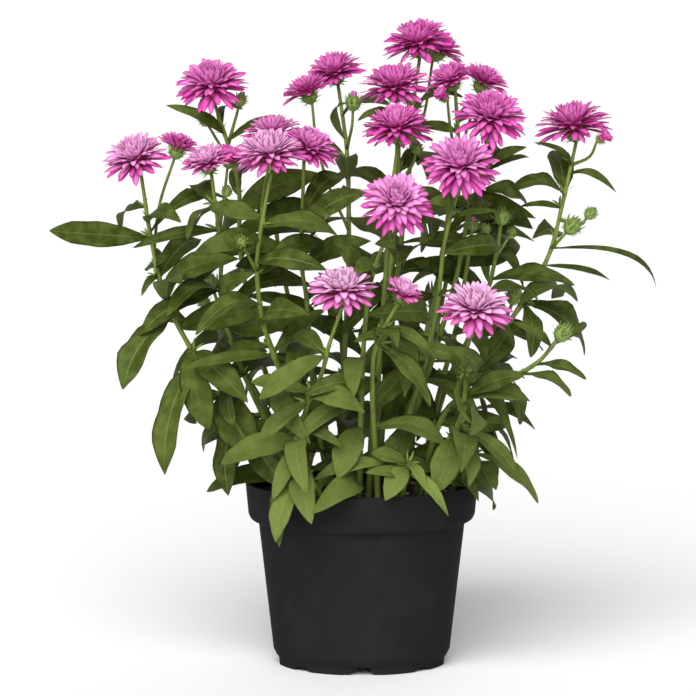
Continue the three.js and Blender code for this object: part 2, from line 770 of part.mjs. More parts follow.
function leafOn(axis, height, tip, width, bend, turn) {
  const { point, direction } = axisAt(axis, height);
  const outline = width < SMALL_LEAF_WIDTH ? SMALL_LEAF : LARGE_LEAF;
  return { base: point, face: direction, tip, width, bend, turn: (turn * Math.PI) / 180, outline };
}

// The places that a leaf of the list above tries: nearer and further back, then shorter.
function listedPlaces(axis, [height, tip, width, bend, turn]) {
  const places = [];
  for (const size of LISTED_SIZES) {
    for (const depth of LISTED_DEPTHS) {
      const leaf = leafOn(axis, height, vector(tip), width * size, bend, turn);
      leaf.face.y -= FRONT_TILT;
      leaf.tip.y += depth;
      leaf.tip.lerpVectors(leaf.base, leaf.tip, size);
      places.push(leaf);
    }
  }
  return places;
}

// Whether a leaf's tip stays within the sides of the crown at its height.
function isInCrown({ x, y, z }) {
  const i = CROWN.findIndex(([height]) => height > z);
  const [low, high] = [CROWN[i - 1], CROWN[i]];
  const share = (z - low[0]) / (high[0] - low[0]);
  const [left, right] = [1, 2].map((side) => low[side] + (high[side] - low[side]) * share);
  return x > left && x < right && Math.abs(y) < REACH_BACK;
}

// The places that a leaf of the rule tries: round the stem, at three slopes. Young leaves near the top
// stand up and old ones hang, and most point away from the middle of the plant.
function rulePlaces(axis, height, top, number) {
  const age = Math.min(1, (top - height) / LEAF_FULL_GROWN);
  const grown = LEAF_SHORTEST + (LEAF_LONGEST - LEAF_SHORTEST) * age ** GROWTH_POWER;
  const full = grown * (1 + LEAF_VARIATION * draw(number));
  const slenderness = YOUNG_SLENDERNESS + (OLD_SLENDERNESS - YOUNG_SLENDERNESS) * age;
  const level = YOUNG_SLOPE + (OLD_SLOPE - YOUNG_SLOPE) * age;
  const { point } = axisAt(axis, height);
  const outward = Math.atan2(point.y, point.x);
  const turn = ((number * GOLDEN_ANGLE + Math.PI) % (2 * Math.PI)) - Math.PI;
  const places = [];
  for (const size of RULE_SIZES) {
    for (const slope of RULE_SLOPES) {
      for (const swing of RULE_SWINGS) {
        const angle = outward + TURN_SHARE * turn + (swing * Math.PI) / 180;
        const out = vector([Math.cos(angle), Math.sin(angle), level + slope]).normalize();
        const length = full * size;
        const tip = point.clone().addScaledVector(out, length);
        const twist = LEAF_TWIST * draw(number + 0.5);
        const leaf = leafOn(axis, height, tip, length * slenderness, LEAF_ARCH, twist);
        leaf.face.add(vector([Math.cos(outward), Math.sin(outward), 0]).multiplyScalar(OUTWARD_TILT));
        leaf.outline = SMALL_LEAF;
        places.push(leaf);
      }
    }
  }
  return places.filter(({ tip }) => isInCrown(tip));
}

function tryPlaces(owner, places) {
  for (const leaf of places) {
    const solid = toSolid(bladeGeometry(leaf));
    if (hasRoom(owner, solid)) {
      return keep(owner, "leaf", solid);
    }
  }
  return null;
}

// Growing the plant

const plant = {};
const blooms = {};

// Adds the bloom of a head as a node of its own.
function addBloom(owner, centre, radius, facing) {
  const made = Object.keys(blooms);
  const onStem = made.filter((name) => name.split("_")[1][0] === owner).length;
  const name = onStem === 0 ? `bloom_${owner}` : `bloom_${owner}${onStem + 1}`;
  blooms[name] = keep(name, "bloom", toSolid(bloomGeometry(centre, radius, facing, 40 * made.length)));
}

// Grows one line of a plant up to its bloom, bud or bare tip, and returns its axis.
function grow(owner, points, parts, radii, isRooted) {
  const way = points.map(vector);
  const last = way[way.length - 1];
  let endRings = [];
  if (parts.bloom) {
    const [place, radius, direction] = parts.bloom;
    const centre = vector(place);
    const facing = vector(direction).normalize();
    way.push(centre.clone().addScaledVector(facing, (-CUP_DEPTH * radius) / FULL_RADIUS));
    endRings = cupRings(centre, radius, facing);
    addBloom(owner, centre, radius, facing);
  } else if (parts.bud) {
    const [place, radius] = parts.bud;
    const centre = vector(place);
    const facing = centre.clone().sub(last).normalize();
    way.push(centre.clone().addScaledVector(facing, -BUD_NECK * radius));
    endRings = budRings(centre, radius, facing);
  } else {
    endRings = [[last.clone().add(vector([0, 0, SHOOT_TIP]))]];
  }
  const curve = new THREE.CatmullRomCurve3(way, false, "catmullrom", 0.5);
  const steps = Math.max(2, Math.round(curve.getLength() / STEM_STEP));
  const axis = curve.getPoints(steps);
  keep(owner, "stem", stemSolid(axis, ...radii, endRings, isRooted));
  return axis;
}

const rootPoint = ([x, y]) => [x, y, SOIL_TOP - HOLE_DEPTH + CLEARANCE];

for (const [name, parts] of Object.entries({ ...STEMS, ...SHOOTS })) {
  const [root, ...rest] = parts.route;
  const axis = grow(name, [rootPoint(root), ...rest], parts, [STEM_BASE_RADIUS, STEM_TOP_RADIUS], true);
  plant[name] = { axis, parts };
  for (const [height, way, end] of parts.branches ?? []) {
    const start = axisAt(axis, height).point;
    grow(name, [start.toArray(), ...way], end, [BRANCH_RADIUS, BRANCH_TOP_RADIUS], false);
  }
}

const pot = keep("pot", "holder", potSolid());
const soil = keep("soil", "holder", soilSolid(Object.values(plant).map(({ axis }) => axis)));

for (const [name, { axis, parts }] of Object.entries(plant)) {
  parts.leaves.forEach((leaf) => tryPlaces(name, listedPlaces(axis, leaf)));
}
Object.entries(plant).forEach(([name, { axis }], order) => {
  const top = axis[axis.length - 1].z;
  const lowest = LOWEST_LEAF + LOWEST_VARIATION * draw(order);
  let number = 17 * order;
  for (let height = lowest; height < top - BARE_TOP; height += LEAF_SPACING) {
    const { x, y } = axisAt(axis, height).point;
    if (height > DARK_HEIGHT || Math.hypot(x, y) > DARK_RADIUS) {
      tryPlaces(name, rulePlaces(axis, height, top, number));
    }
    number += 1;
  }
});

// The model

const group = new THREE.Group();

function addMesh(name, solid, color, roughness) {
  const material = new THREE.MeshStandardMaterial({ color, roughness, metalness: 0 });
  const mesh = new THREE.Mesh(toGeometry(solid), material);
  mesh.name = name;
  group.add(mesh);
}

addMesh("pot", pot, POT_BLACK, 0.5);
addMesh("soil", soil, SOIL_BROWN, 0.95);
for (const name of Object.keys(plant)) {
  const own = pieces.filter((piece) => piece.owner === name).map((piece) => piece.solid);
  const isShoot = name in SHOOTS;
  const color = isShoot ? SHOOT_GREEN : LEAF_GREEN;
  addMesh(isShoot ? `shoot_${name}` : `stem_${name}`, wasm.Manifold.union(own), color, 0.6);
}
for (const [name, solid] of Object.entries(blooms)) {
  addMesh(name, solid, PETAL_PINK, 0.6);
}

export default group;
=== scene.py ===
"""Potted New York aster: a bushy plant with double pink flower heads in a black nursery pot.

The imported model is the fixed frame. Every leafy stem, shoot and head, the soil and the pot get a fine
piece in the place of their plain solid. The tables and shapes are in millimetres, the scene in metres.
"""

import math

import bmesh
import bpy
import numpy as np
from bpy.props import FloatProperty, FloatVectorProperty, IntProperty, PointerProperty
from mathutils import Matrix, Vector, kdtree, noise


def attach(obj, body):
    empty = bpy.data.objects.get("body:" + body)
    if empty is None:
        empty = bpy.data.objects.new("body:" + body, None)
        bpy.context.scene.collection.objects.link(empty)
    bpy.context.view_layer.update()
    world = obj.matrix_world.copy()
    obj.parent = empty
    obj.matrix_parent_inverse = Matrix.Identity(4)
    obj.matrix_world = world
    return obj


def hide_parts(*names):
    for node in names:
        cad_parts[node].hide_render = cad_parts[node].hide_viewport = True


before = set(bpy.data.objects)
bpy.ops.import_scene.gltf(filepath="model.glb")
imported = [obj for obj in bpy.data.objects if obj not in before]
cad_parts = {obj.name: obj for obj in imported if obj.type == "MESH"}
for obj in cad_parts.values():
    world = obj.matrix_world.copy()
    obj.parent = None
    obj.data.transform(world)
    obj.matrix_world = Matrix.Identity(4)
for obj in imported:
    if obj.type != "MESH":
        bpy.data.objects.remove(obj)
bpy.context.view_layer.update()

bl_info = {
    "name": "Potted New York Aster",
    "version": (1, 0, 0),
    "blender": (4, 5, 0),
    "location": "View3D > Sidebar > Aster",
    "description": "Builds a New York aster in a nursery pot around its packed frame",
    "category": "Add Mesh",
}

MM = 0.001

# Each stem starts in the soil at the first point of its route and ends at its head or bud.
# A bloom is [centre, radius, facing]; a bud is [centre, radius].
# A branch is [height it leaves the stem at, points on its way, its bloom or bud].
# A leaf is [height it leaves the stem at, tip, width, bend, turn about its own length in degrees].
STEMS = {
    "a": {
        "route": [
            [-38, -6], [-60, -5, 135], [-82, -12, 164], [-100, -20, 189], [-117, -22, 223], [-125, -20, 255],
        ],
        "bloom": [[-134, -20, 305], 19, [-0.3, -0.4, 0.87]],
        "branches": [[250, [[-121, -4, 277]], {"bloom": [[-111, 14, 308], 14, [0.3, 0.2, 0.93]]}]],
        "leaves": [
            [259, [-184, -45, 266], 14, -0.02, -50],
            [212, [-143, -42, 172], 18, 0.16, 0],
            [186, [-119, -48, 122], 18, 0.14, 0],
            [194, [-91, -42, 147], 17, 0.14, 0],
            [166, [-64, -42, 132], 22, 0.2, 0],
            [153, [-81, -30, 106], 15, 0.16, 0],
            [277, [-146, 6, 265], 12, 0.16, 0],
            [262, [-78, 14, 281], 11, 0.2, 0],
            [241, [-113, -32, 250], 6, 0.1, 0],
            [236, [-131, -34, 227], 6, 0.1, 0],
        ],
    },
    "b": {
        "route": [
            [-36, 10], [-52, 5, 134], [-68, -5, 169], [-78, -15, 197], [-84, -22, 226], [-84, -25, 252],
        ],
        "bloom": [[-91, -36, 304], 15, [-0.3, -0.35, 0.89]],
        "branches": [
            [262, [[-82, -12, 284]], {"bloom": [[-79, 0, 303], 12, [0.3, -0.2, 0.93]]}],
            [268, [], {"bud": [[-80, -28, 288], 3]}],
        ],
        "leaves": [
            [264, [-135, -44, 257], 8, 0.08, 0],
            [228, [-133, -38, 206], 14, 0.12, 0],
            [243, [-112, -8, 216], 11, 0.12, 0],
        ],
    },
    "c": {
        "route": [[-30, 26], [-43, 30, 136], [-59, 40, 172], [-69, 45, 214], [-74, 42, 251], [-75, 35, 288]],
        "bloom": [[-90, 22, 345], 20.5, [-0.1, -0.45, 0.89]],
        "branches": [
            [310, [[-76, 32, 326]], {"bud": [[-73, 37, 337], 3.5]}],
            [294, [[-86, 44, 309]], {"bud": [[-95, 46, 324], 3.5]}],
        ],
        "leaves": [
            [316, [-116, 12, 336], 7, 0.1, 0],
            [312, [-52, 22, 329], 6, 0.1, 0],
        ],
    },
    "d": {
        "route": [
            [-26, -18], [-37, -20, 138], [-46, -32, 172], [-58, -48, 210], [-62, -55, 241], [-60, -59, 265],
        ],
        "bloom": [[-54, -63, 311], 20.5, [-0.1, -0.3, 0.95]],
        "branches": [
            [262, [[-58, -34, 290]], {"bloom": [[-53, -8, 318], 17.5, [-0.1, 0, 0.99]]}],
            [243, [[-67, -68, 254]], {"bud": [[-71, -77, 263], 3]}],
        ],
        "leaves": [
            [191, [-105, -50, 185], 8, 0.1, 0],
            [192, [-22, -28, 217], 10, 0.1, 0],
        ],
    },
    "e": {
        "route": [[-18, 4], [-26, 0, 141], [-30, -8, 178], [-33, -16, 221], [-36, -22, 248]],
        "bloom": [[-32, -37, 313], 17, [0.35, -0.3, 0.89]],
    },
    "f": {
        "route": [[-12, 30], [-13, 32, 142], [-10, 38, 190], [-8, 42, 239], [-8, 46, 275], [-9, 48, 305]],
        "bloom": [[-16, 60, 350], 17, [-0.25, -0.25, 0.94]],
        "branches": [
            [257, [[-19, 38, 282], [-27, 30, 310]], {"bloom": [[-32, 24, 341], 15.5, [-0.35, 0, 0.94]]}],
            [306, [[-6, 36, 320]], {"bud": [[-5, 33, 336], 4.5]}],
        ],
        "leaves": [[311, [-10, 15, 337], 6, 0.14, 0]],
    },
    "g": {
        "route": [[8, 24], [11, 27, 143], [18, 33, 198], [24, 37, 252], [29, 40, 295], [31, 42, 331]],
        "bloom": [[34, 42, 369], 20, [-0.12, -0.3, 0.95]],
        "branches": [[307, [[38, 54, 327]], {"bloom": [[46, 73, 363], 16, [0.45, 0.1, 0.89]]}]],
        "leaves": [[329, [60, 24, 341], 9, 0.2, 0]],
    },
    "h": {
        "route": [[4, 2], [6, 0, 141], [11, 0, 189], [17, 3, 237], [21, 4, 279], [22, 2, 309]],
        "bloom": [[20, -2, 346], 20, [-0.1, -0.2, 0.97]],
        "branches": [[288, [[30, -6, 301]], {"bud": [[33, -14, 312], 3]}]],
    },
    "i": {
        "route": [[20, 16], [26, 18, 144], [38, 22, 192], [48, 25, 241], [54, 27, 283], [58, 28, 308]],
        "bloom": [[54, 15, 349], 14.5, [-0.35, -0.35, 0.87]],
        "branches": [
            [300, [[64, 38, 320]], {"bloom": [[73, 48, 345], 15.5, [0.4, 0, 0.92]]}],
            [300, [[53, 6, 322]], {"bloom": [[49, -10, 342], 8, [-0.6, -0.45, 0.66]]}],
        ],
        "leaves": [[318, [30, 22, 322], 8, 0.12, 0]],
    },
    "j": {
        "route": [[20, 0], [29, 0, 141], [44, -5, 190], [56, -8, 232], [63, -10, 269], [70, -11, 293]],
        "bloom": [[76, -17, 329], 21, [0.1, -0.5, 0.86]],
        "leaves": [
            [300, [98, -14, 313], 7, 0.16, 0],
            [284, [100, 2, 276], 12, 0.26, 0],
            [296, [102, 14, 306], 4, 0.1, 0],
        ],
    },
    "k": {
        "route": [[4, -20], [6, -22, 138], [10, -30, 181], [13, -32, 223], [15, -31, 253], [17, -30, 282]],
        "bloom": [[21, -33, 324], 19.5, [-0.05, -0.25, 0.97]],
    },
    "l": {
        "route": [[20, -16], [26, -20, 144], [38, -28, 187], [45, -34, 223], [49, -38, 259]],
        "bloom": [[58, -47, 303], 21.5, [-0.05, -0.6, 0.8]],
        "leaves": [
            [186, [6, -50, 160], 13, 0.16, 0],
            [272, [80, -55, 279], 5, 0.12, 0],
        ],
    },
    "m": {
        "route": [[-2, -40], [-1, -48, 141], [0, -58, 179], [2, -63, 215], [7, -67, 245]],
        "bloom": [[20, -76, 284], 20.5, [0.05, -0.68, 0.73]],
        "leaves": [
            [150, [-14, -74, 123], 16, 0.2, 0],
            [228, [-14, -80, 262], 14, 0.12, 0],
        ],
    },
    "n": {
        "route": [
            [32, 6], [41, 6, 134], [59, 8, 158], [77, 12, 188], [99, 18, 219], [113, 21, 245], [120, 24, 271],
        ],
        "bloom": [[128, 29, 320], 21, [-0.15, -0.15, 0.98]],
        "branches": [
            [298, [[137, 18, 304]], {"bloom": [[143, 4, 316], 8, [0.75, -0.35, 0.56]]}],
            [248, [[121, 16, 256]], {"bud": [[127, 14, 263], 5]}],
            [266, [[131, 20, 262]], {"bud": [[138, 19, 270], 3.5]}],
        ],
        "leaves": [
            [216, [138, 34, 184], 21, 0.16, 0],
            [216, [103, -6, 187], 12, 0.14, 0],
            [238, [153, 56, 226], 5, 0.06, 0],
            [298, [104, 16, 313], 5, 0.1, 0],
            [280, [117, 48, 305], 14, 0.12, 0],
            [292, [153, 14, 284], 6, 0.26, 0],
            [272, [96, 10, 276], 5, 0.1, 0],
            [248, [181, 58, 221], 5, 0.16, 0],
        ],
    },
    "o": {
        "route": [[34, -16], [41, -20, 132], [52, -25, 158], [72, -28, 170], [88, -30, 176], [105, -31, 186]],
        "bud": [[120, -32, 204], 5],
        "leaves": [
            [195, [90, -44, 212], 6, 0.1, 0],
            [196, [136, -22, 207], 5, 0.1, 0],
            [184, [133, -46, 178], 9, 0.12, 0],
            [178, [124, -56, 172], 12, 0.1, 0],
            [174, [94, -44, 150], 13, 0.16, 0],
            [168, [93, -58, 134], 5, 0.16, 0],
            [158, [62, -62, 122], 14, 0.2, 0],
        ],
    },
    "p": {
        "route": [[36, -36], [46, -50, 130], [58, -64, 156], [61, -74, 178], [60, -82, 194]],
        "bloom": [[66, -102, 224], 20.5, [0.05, -0.45, 0.89]],
        "leaves": [
            [145, [44, -78, 115], 16, 0.2, 0],
            [186, [62, -96, 158], 8, 0.1, 70],
            [170, [94, -82, 186], 11, 0.12, 0],
            [152, [95, -66, 120], 9, 0.18, 0],
        ],
    },
    "q": {
        "route": [[10, -46], [7, -56, 150], [6, -70, 182], [9, -81, 204]],
        "bloom": [[23, -86, 232], 12.5, [0.35, -0.45, 0.82]],
        "leaves": [
            [203, [41, -98, 170], 12, 0.14, 0],
            [212, [43, -104, 199], 8, 0.12, 0],
            [208, [-4, -98, 207], 7, 0.1, 0],
        ],
    },
    "r": {
        "route": [
            [-28, -40], [-35, -52, 124], [-35, -60, 149], [-32, -66, 166], [-24, -75, 184], [-19, -84, 204],
        ],
        "bloom": [[-11, -98, 235], 19, [0, -0.4, 0.92]],
        "leaves": [
            [196, [-60, -97, 174], 12, 0.12, 0],
            [172, [-66, -60, 178], 10, 0.12, 0],
            [166, [-60, -88, 148], 10, 0.12, 0],
            [150, [-11, -80, 142], 8, 0.12, 0],
            [142, [-52, -86, 114], 10, 0.16, 0],
        ],
    },
    "s": {
        "route": [[36, 22], [42, 20, 140], [50, 8, 175], [57, 0, 205], [62, -9, 236]],
        "bud": [[66, -18, 267], 3.5],
    },
    "t": {
        "route": [[34, 32], [44, 28, 140], [54, 22, 172], [67, 19, 199], [76, 15, 224], [81, 8, 248]],
        "bud": [[84, 1, 270], 4.5],
        "branches": [
            [248, [], {"bud": [[74, 6, 262], 3]}],
            [244, [], {"bud": [[90, 10, 259], 3]}],
        ],
        "leaves": [
            [230, [127, 0, 231], 13, 0.12, 0],
            [223, [33, 10, 243], 12, 0.12, 0],
        ],
    },
    "u": {
        "route": [[28, 38], [34, 60, 150], [46, 76, 195], [55, 84, 238]],
        "bloom": [[62, 94, 288], 20, [0.2, 0.45, 0.87]],
    },
    "v": {
        "route": [[-18, 42], [-25, 66, 150], [-42, 82, 200], [-52, 90, 248]],
        "bloom": [[-56, 94, 299], 20, [-0.2, 0.4, 0.89]],
    },
    "w": {
        "route": [[10, 48], [14, 72, 149], [18, 88, 208], [21, 93, 265]],
        "bloom": [[22, 96, 312], 20, [0.05, 0.4, 0.91]],
    },
    "x": {
        "route": [[-4, 50], [-9, 70, 145], [-12, 86, 178]],
        "bloom": [[-13, 100, 212], 19, [0, 0.55, 0.83]],
    },
    "y": {
        "route": [[-38, 36], [-56, 50, 142], [-78, 62, 180]],
        "bud": [[-92, 68, 222], 5],
        "branches": [[192, [], {"bud": [[-96, 54, 212], 3.5]}]],
    },
    "z": {
        "route": [[42, 40], [58, 52, 138], [78, 64, 172]],
        "bud": [[94, 74, 214], 5],
        "branches": [[186, [], {"bud": [[72, 80, 204], 3.5]}]],
    },
}

# Young shoots without flowers, close to the rim: the last point of the route is the tip of the stem.
SHOOTS = {
    "front": {
        "route": [[22, -50], [25, -58, 116], [28, -62, 132]],
        "leaves": [
            [128, [6, -68, 137], 11, 0.12, 0],
            [127, [14, -79, 111], 12, 0.2, 0],
            [129, [38, -80, 115], 8, 0.16, 0],
            [124, [51, -79, 101], 8, 0.2, 0],
        ],
    },
    "rim": {
        "route": [[-22, -48], [-26, -54, 112], [-34, -61, 126]],
        "leaves": [
            [124, [-51, -89, 87], 14, 0.2, 0],
            [122, [-30, -93, 99], 15, 0.34, 0],
            [118, [13, -74, 131], 10, 0.2, 0],
        ],
    },
    "right": {
        "route": [[50, -18], [60, -20, 118], [67, -22, 132]],
        "leaves": [
            [130, [107, -26, 102], 10, 0.16, 0],
            [126, [80, -46, 112], 10, 0.16, 0],
        ],
    },
}


# Repeatable draws, and how near to the X axis a direction may lie until Y serves as the side
DRAW_STEP = 12.9898
DRAW_SCALE = 43758.5453
NEAR_X = 0.92

# Steps between the draw numbers of one stem or head and the next. FILL_DRAWS is [first number, step].
RULE_DRAWS = 17
FILL_DRAWS = (500, 23)
LEAF_DRAWS = 31
CUP_DRAWS = 97
BUD_DRAWS = 57
HEAD_DRAWS = 400

# Stems, in millimetres
SOIL_TOP = 102
ROOT_DEPTH = 3.65
STEM_STEP = 40
BASE_RADIUS = 1.9
TOP_RADIUS = 1.05
BRANCH_RADIUS = 1.0
BRANCH_TOP_RADIUS = 0.8
BRANCH_ROOT = (1.35, 1.12)
STALK_STEP = 3.5
STALK_SIDES = 10
STALK_RIDGE = 0.07
NODE_SWELLING = 0.16
SWELLING_LENGTH = 2.4

# Flower heads. A head of another size than the full one is scaled from these sizes.
FULL_RADIUS = 20
OPENED_RADIUS = 18
OPENING_RADIUS = 8
CUP_RADIUS = 6.6
CUP_DEPTH = 8
BUD_NECK = 1.3

# A cup or a bud: its body is [height, radius] in shares of its depth and radius. A layer of bracts is
# [how many, radius, height, angle from the facing, length, width, curl], lengths in shares of the radius.
CUP_SIDES = 12
CUP_BODY = [[-1, 0.25], [-0.85, 0.5], [-0.6, 0.84], [-0.3, 1], [-0.1, 0.95], [0.02, 0.6]]
BUD_BODY = [[-1, 0.35], [-0.75, 0.75], [-0.4, 1.0], [0, 1.0], [0.35, 0.8], [0.6, 0.5], [0.75, 0.15]]
CUP_LAYERS = [
    [8, 0.45, -1.05, 68, 0.75, 0.26, 0.7],
    [11, 0.72, -0.75, 52, 0.85, 0.28, 0.6],
    [13, 0.92, -0.42, 34, 0.9, 0.3, 0.5],
    [14, 0.96, -0.1, 20, 0.8, 0.28, 0.5],
]
BUD_LAYERS = [
    [7, 0.5, -0.95, 62, 0.8, 0.36, 0.6],
    [9, 0.85, -0.6, 42, 0.95, 0.38, 0.5],
    [10, 1.0, -0.15, 14, 1.0, 0.38, 0.25],
    [8, 0.8, 0.25, -12, 0.95, 0.34, 0.1],
    [5, 0.45, 0.5, -22, 0.8, 0.3, 0],
]
BRACT_ROWS = np.array([0, 0.3, 0.6, 0.85, 1])
BRACT_OUTLINE = np.array([0.75, 1, 0.85, 0.45, 0.06])
BRACT_COLUMNS = np.array([-1, 0, 1])
BRACT_FOLD = 0.25
BRACT_THICKNESS = 0.3
BRACT_SCATTER = 0.15
BRACT_SWAY = 9

# Stems whose larger buds show the tips of their rays
OPENING_BUDS = ("stem_c", "stem_f", "stem_s")
OPENING_BUD_RADIUS = 3.5
OPENING_RAYS = 8
OPENING_RISE = 70
OPENING_BEND = 25
OPENING_PLACE = (0.3, 0.25)
OPENING_SIZE = (1.15, 0.55)
OPENING_SHAPE = (0.3, 0.2)

# Tufts of tiny leaves between a leaf and its stem
TUFT_LEAVES = 5
TUFT_LENGTH = 6.5
TUFT_WIDTH = 0.26
TUFT_VARIATION = 0.35
TUFT_HEIGHT = 1.2
TUFT_REACH = 0.5
TUFT_LEAN = 0.8
TUFT_SPREAD = 0.35
TUFT_SCATTER = 0.3
TUFT_CURL = 0.7
TUFT_SHARE = 0.1

# Leaves that the frame has too: a leaf takes the first of its places that the frame shows
SMALL_LEAF_WIDTH = 9
GOLDEN_ANGLE = 2.39996
LEAF_LONGEST = 54
LEAF_SHORTEST = 28
YOUNG_SLENDERNESS = 0.36
OLD_SLENDERNESS = 0.32
LEAF_TWIST = 24
LEAF_ARCH = 0.15
LEAF_VARIATION = 0.12
FRONT_TILT = 0.7
OUTWARD_TILT = 0.6
LOWEST_LEAF = 118
LOWEST_VARIATION = 6
BARE_TOP = 12
LEAF_SPACING = 26
LEAF_FULL_GROWN = 110
GROWTH_POWER = 0.7
YOUNG_SLOPE = 0.4
OLD_SLOPE = -0.5
TURN_SHARE = 0.8
DARK_RADIUS = 28
DARK_HEIGHT = 215
REACH_BACK = 116

# How far leaves without a table reach to the left and the right of the axis: [height, left, right]
CROWN = np.array([
    [0, -102, 104], [110, -102, 104], [150, -114, 110], [185, -130, 134], [225, -124, 130],
    [260, -118, 116], [300, -96, 90], [350, -66, 82], [450, -66, 82],
])
LISTED_SIZES = (1, 0.86, 0.72)
LISTED_DEPTHS = (0, -8, 8, -16, 16, -26, 26, -38, 38)
RULE_SIZES = (1, 0.8)
RULE_SLOPES = (0, 0.4, -0.3)
RULE_SWINGS = (0, 26, -26, 52, -52, 78, -78, 104, -104, 140)
FOUND_WITHIN = 0.3

# How the leaves differ from the plain ones: the listed ones are broader, those of the rule vary
LISTED_BREADTH = 1.12
RULE_BREADTH = (0.95, 0.13)
RULE_ARCH = (0.05, 0.07)

# The shape of a fine leaf, in shares of its length or width. An outline is [rise, fall], and a wave is
# [length, place of its crest].
LEAF_ROWS = np.array([0, 0.05, 0.11, 0.18, 0.26, 0.35, 0.44, 0.53, 0.62, 0.71, 0.79, 0.86, 0.92, 0.97, 1])
LEAF_COLUMNS = np.array([-1, -0.82, -0.5, -0.13, 0, 0.13, 0.5, 0.82, 1])
LISTED_OUTLINE = (1.0, 0.78)
SMALL_OUTLINE = (0.82, 0.82)
LEAF_FOOT = 0.16
LEAF_POINT = 0.015
LEAF_FOLD = 0.09
FOLD_VARIATION = 0.06
FOLD_POWER = 1.25
TIP_DROOP = 0.05
BLADE_TWIST = 0.35
TWIST_START = 0.4
EDGE_VARIATION = 0.05
LEAF_WAVE = 0.09
LISTED_WAVE = (0.57, 0.5)
SMALL_WAVE = (0.72, 0.66)
LEAF_SWELL = 0.02
SWELLS = 3.1
RIB_DEPTH = 0.45
RIB_WIDTH = 0.1
RIB_FADING = 0.6
FOOT_STEEPNESS = (4, 8)
COARSE_THICKNESS = 0.5

# How young a leaf looks and how much painted light it gets, from 0 to 1: the painted light is most at the
# foot of the plant's front
LIT_FRONT = (10, 75)
LIT_FOOT = (-235, -110)
LEAST_YOUTH = 0.04
FRONT_PAINTED_LIGHT = 0.14
FOOT_PAINTED_LIGHT = 0.72
SHOOT_YOUTH = 0.6
YOUTH_VARIATION = 0.08

# Leaves that only the fine plant has, to fill its middle
FILL_LOWEST = 122
FILL_HIGHEST = 292
FILL_VARIATION = 4
FILL_SPACING = 7.5
FILL_BREADTH = (0.92, 0.14)
FILL_TURN = 0.8
FILL_ARCH = (1.0, 0.8)
FILL_CELL = 4.0
FILL_TAKEN = 0.16
FILL_GAIN = 7
FILL_SIZES = (1.05, 0.8)
FILL_SLOPES = (-1.3, -0.7, -0.2, 0.6)
SIDE_SHARE = 0.5
RIM_CLEARANCE = 1.5
HEAD_SPACE = np.arange(-0.3, 0.6, 0.12)

# How far these leaves reach to the left and the right: [height, left, right]
FILL_SIDES = np.array([
    [104, -72, 72], [123, -86, 74], [141, -86, 74], [160, -103, 78], [172, -103, 106], [190, -96, 126],
    [202, -108, 134], [220, -124, 134], [238, -132, 118], [256, -130, 106], [274, -128, 104], [290, -112, 98],
])

# Rays of a full head: they leave a spiral whose lowest part is spread and whose heart is upright.
# Angles are in degrees, and places in the spiral run from 0 at its lowest ray to 1 in the heart.
RAY_COUNT = 146
CLOSED_COUNT = 0.55
BROAD_COUNT = 0.38
RAY_LOWEST = -5
RAY_STEEPEST = 84
RISE_POWER = 1.25
CLOSED_RISE = 55
RISE_VARIATION = 7
TURN_VARIATION = 0.16
RAY_TWIST = 0.5
RAY_BREADTH = (0.96, 0.22)
SPIRAL_WIDTHS = (1.02, 0.12)
WIDTH_VARIATION = 0.16
LENGTH_VARIATION = (0.97, 0.12)
RAY_GUTTER = (0.12, 0.25)
LEAST_DROOP = 14
FACING_DROOP = 12
DROOP_FACINGS = (0.35, 0.55)
ARCH_BEND = 30
ARCH_PLACE = (0.36, 0.15)
HEART_BEND = 66
HEART_PLACES = (0.5, 0.78)
LOOSE_BEND = (10, 12)
LOOSE_PLACE = (0.4, 0.2)
LEAN_PLACES = (0.03, 0.25)
HEAD_HEIGHT = 0.7
HEAD_SPREAD = 1.1
CORE_RADIUS = 6.2
CORE_HEIGHT = 5.6
CORE_FOOT = 0.3
CORE_DEPTH = 0.9
CORE_OUTLINE = np.array([[0, 0.98], [0.35, 0.93], [0.7, 0.7], [0.92, 0.38], [1.0, 0.1]])
RAY_ROWS = np.array([0, 0.2, 0.4, 0.58, 0.74, 0.87, 0.96, 1])
RAY_COLUMNS = np.array([-1, -0.4, 0.4, 1])
RAY_THICKNESS = 0.22
RAY_WAIST = 0.5
TIP_POWERS = (2.1, 0.58)
TIP_WIDTH = 0.08

# The looks of the heads: [how pale the heart is, how broad and few the rays are], else USUAL_LOOK
USUAL_LOOK = [0.32, 0.15]
HEAD_LOOKS = {
    "a": [0.8, 0.1], "b": [0.9, 0.2], "c": [0.4, 0.1], "d": [0.9, 0.1], "d2": [0.6, 0.1], "e": [0.55, 0.1],
    "g": [0.2, 0.1], "l": [0.55, 0.3], "m": [0.65, 0.45], "p": [1.0, 0.7], "q": [0.9, 1.0], "r": [1.15, 0.9],
}


# Pot: the outline runs from the middle of the underside round the outside to the middle of the floor
STEP_HEIGHT = 8.5
STEP_RADIUS = 53.3
FOOT_HEIGHT = 4.5
FOOT_RADIUS = 50.8
FOOT_WIDTH = 3.2
SHOULDER_HEIGHT = 86
SHOULDER_RADIUS = 62.1
COLLAR_BOTTOM = 90.6
COLLAR_RADIUS = 68.2
RIM_RADIUS = 70
POT_HEIGHT = 110
POT_WALL = 1.6
FLOOR_THICKNESS = 2
POT_MIDDLE = 0.4
DRAIN_RADIUS = 5
DRAIN_SIDES = 28
DRAIN_LENGTH = 12
DRAIN_CIRCLE = 30
NOTCH_TOP_HALF = 4.9
NOTCH_FOOT_HALF = 9.5
NOTCH_HEIGHT = 4.3
RECESS_HALF = 11.6
RECESS_HEIGHT = 5
RECESS_DEPTH = 1
SMALL_NOTCH_HALF = 6.5
SMALL_NOTCH_HEIGHT = 2
POT_STEP = 1.25

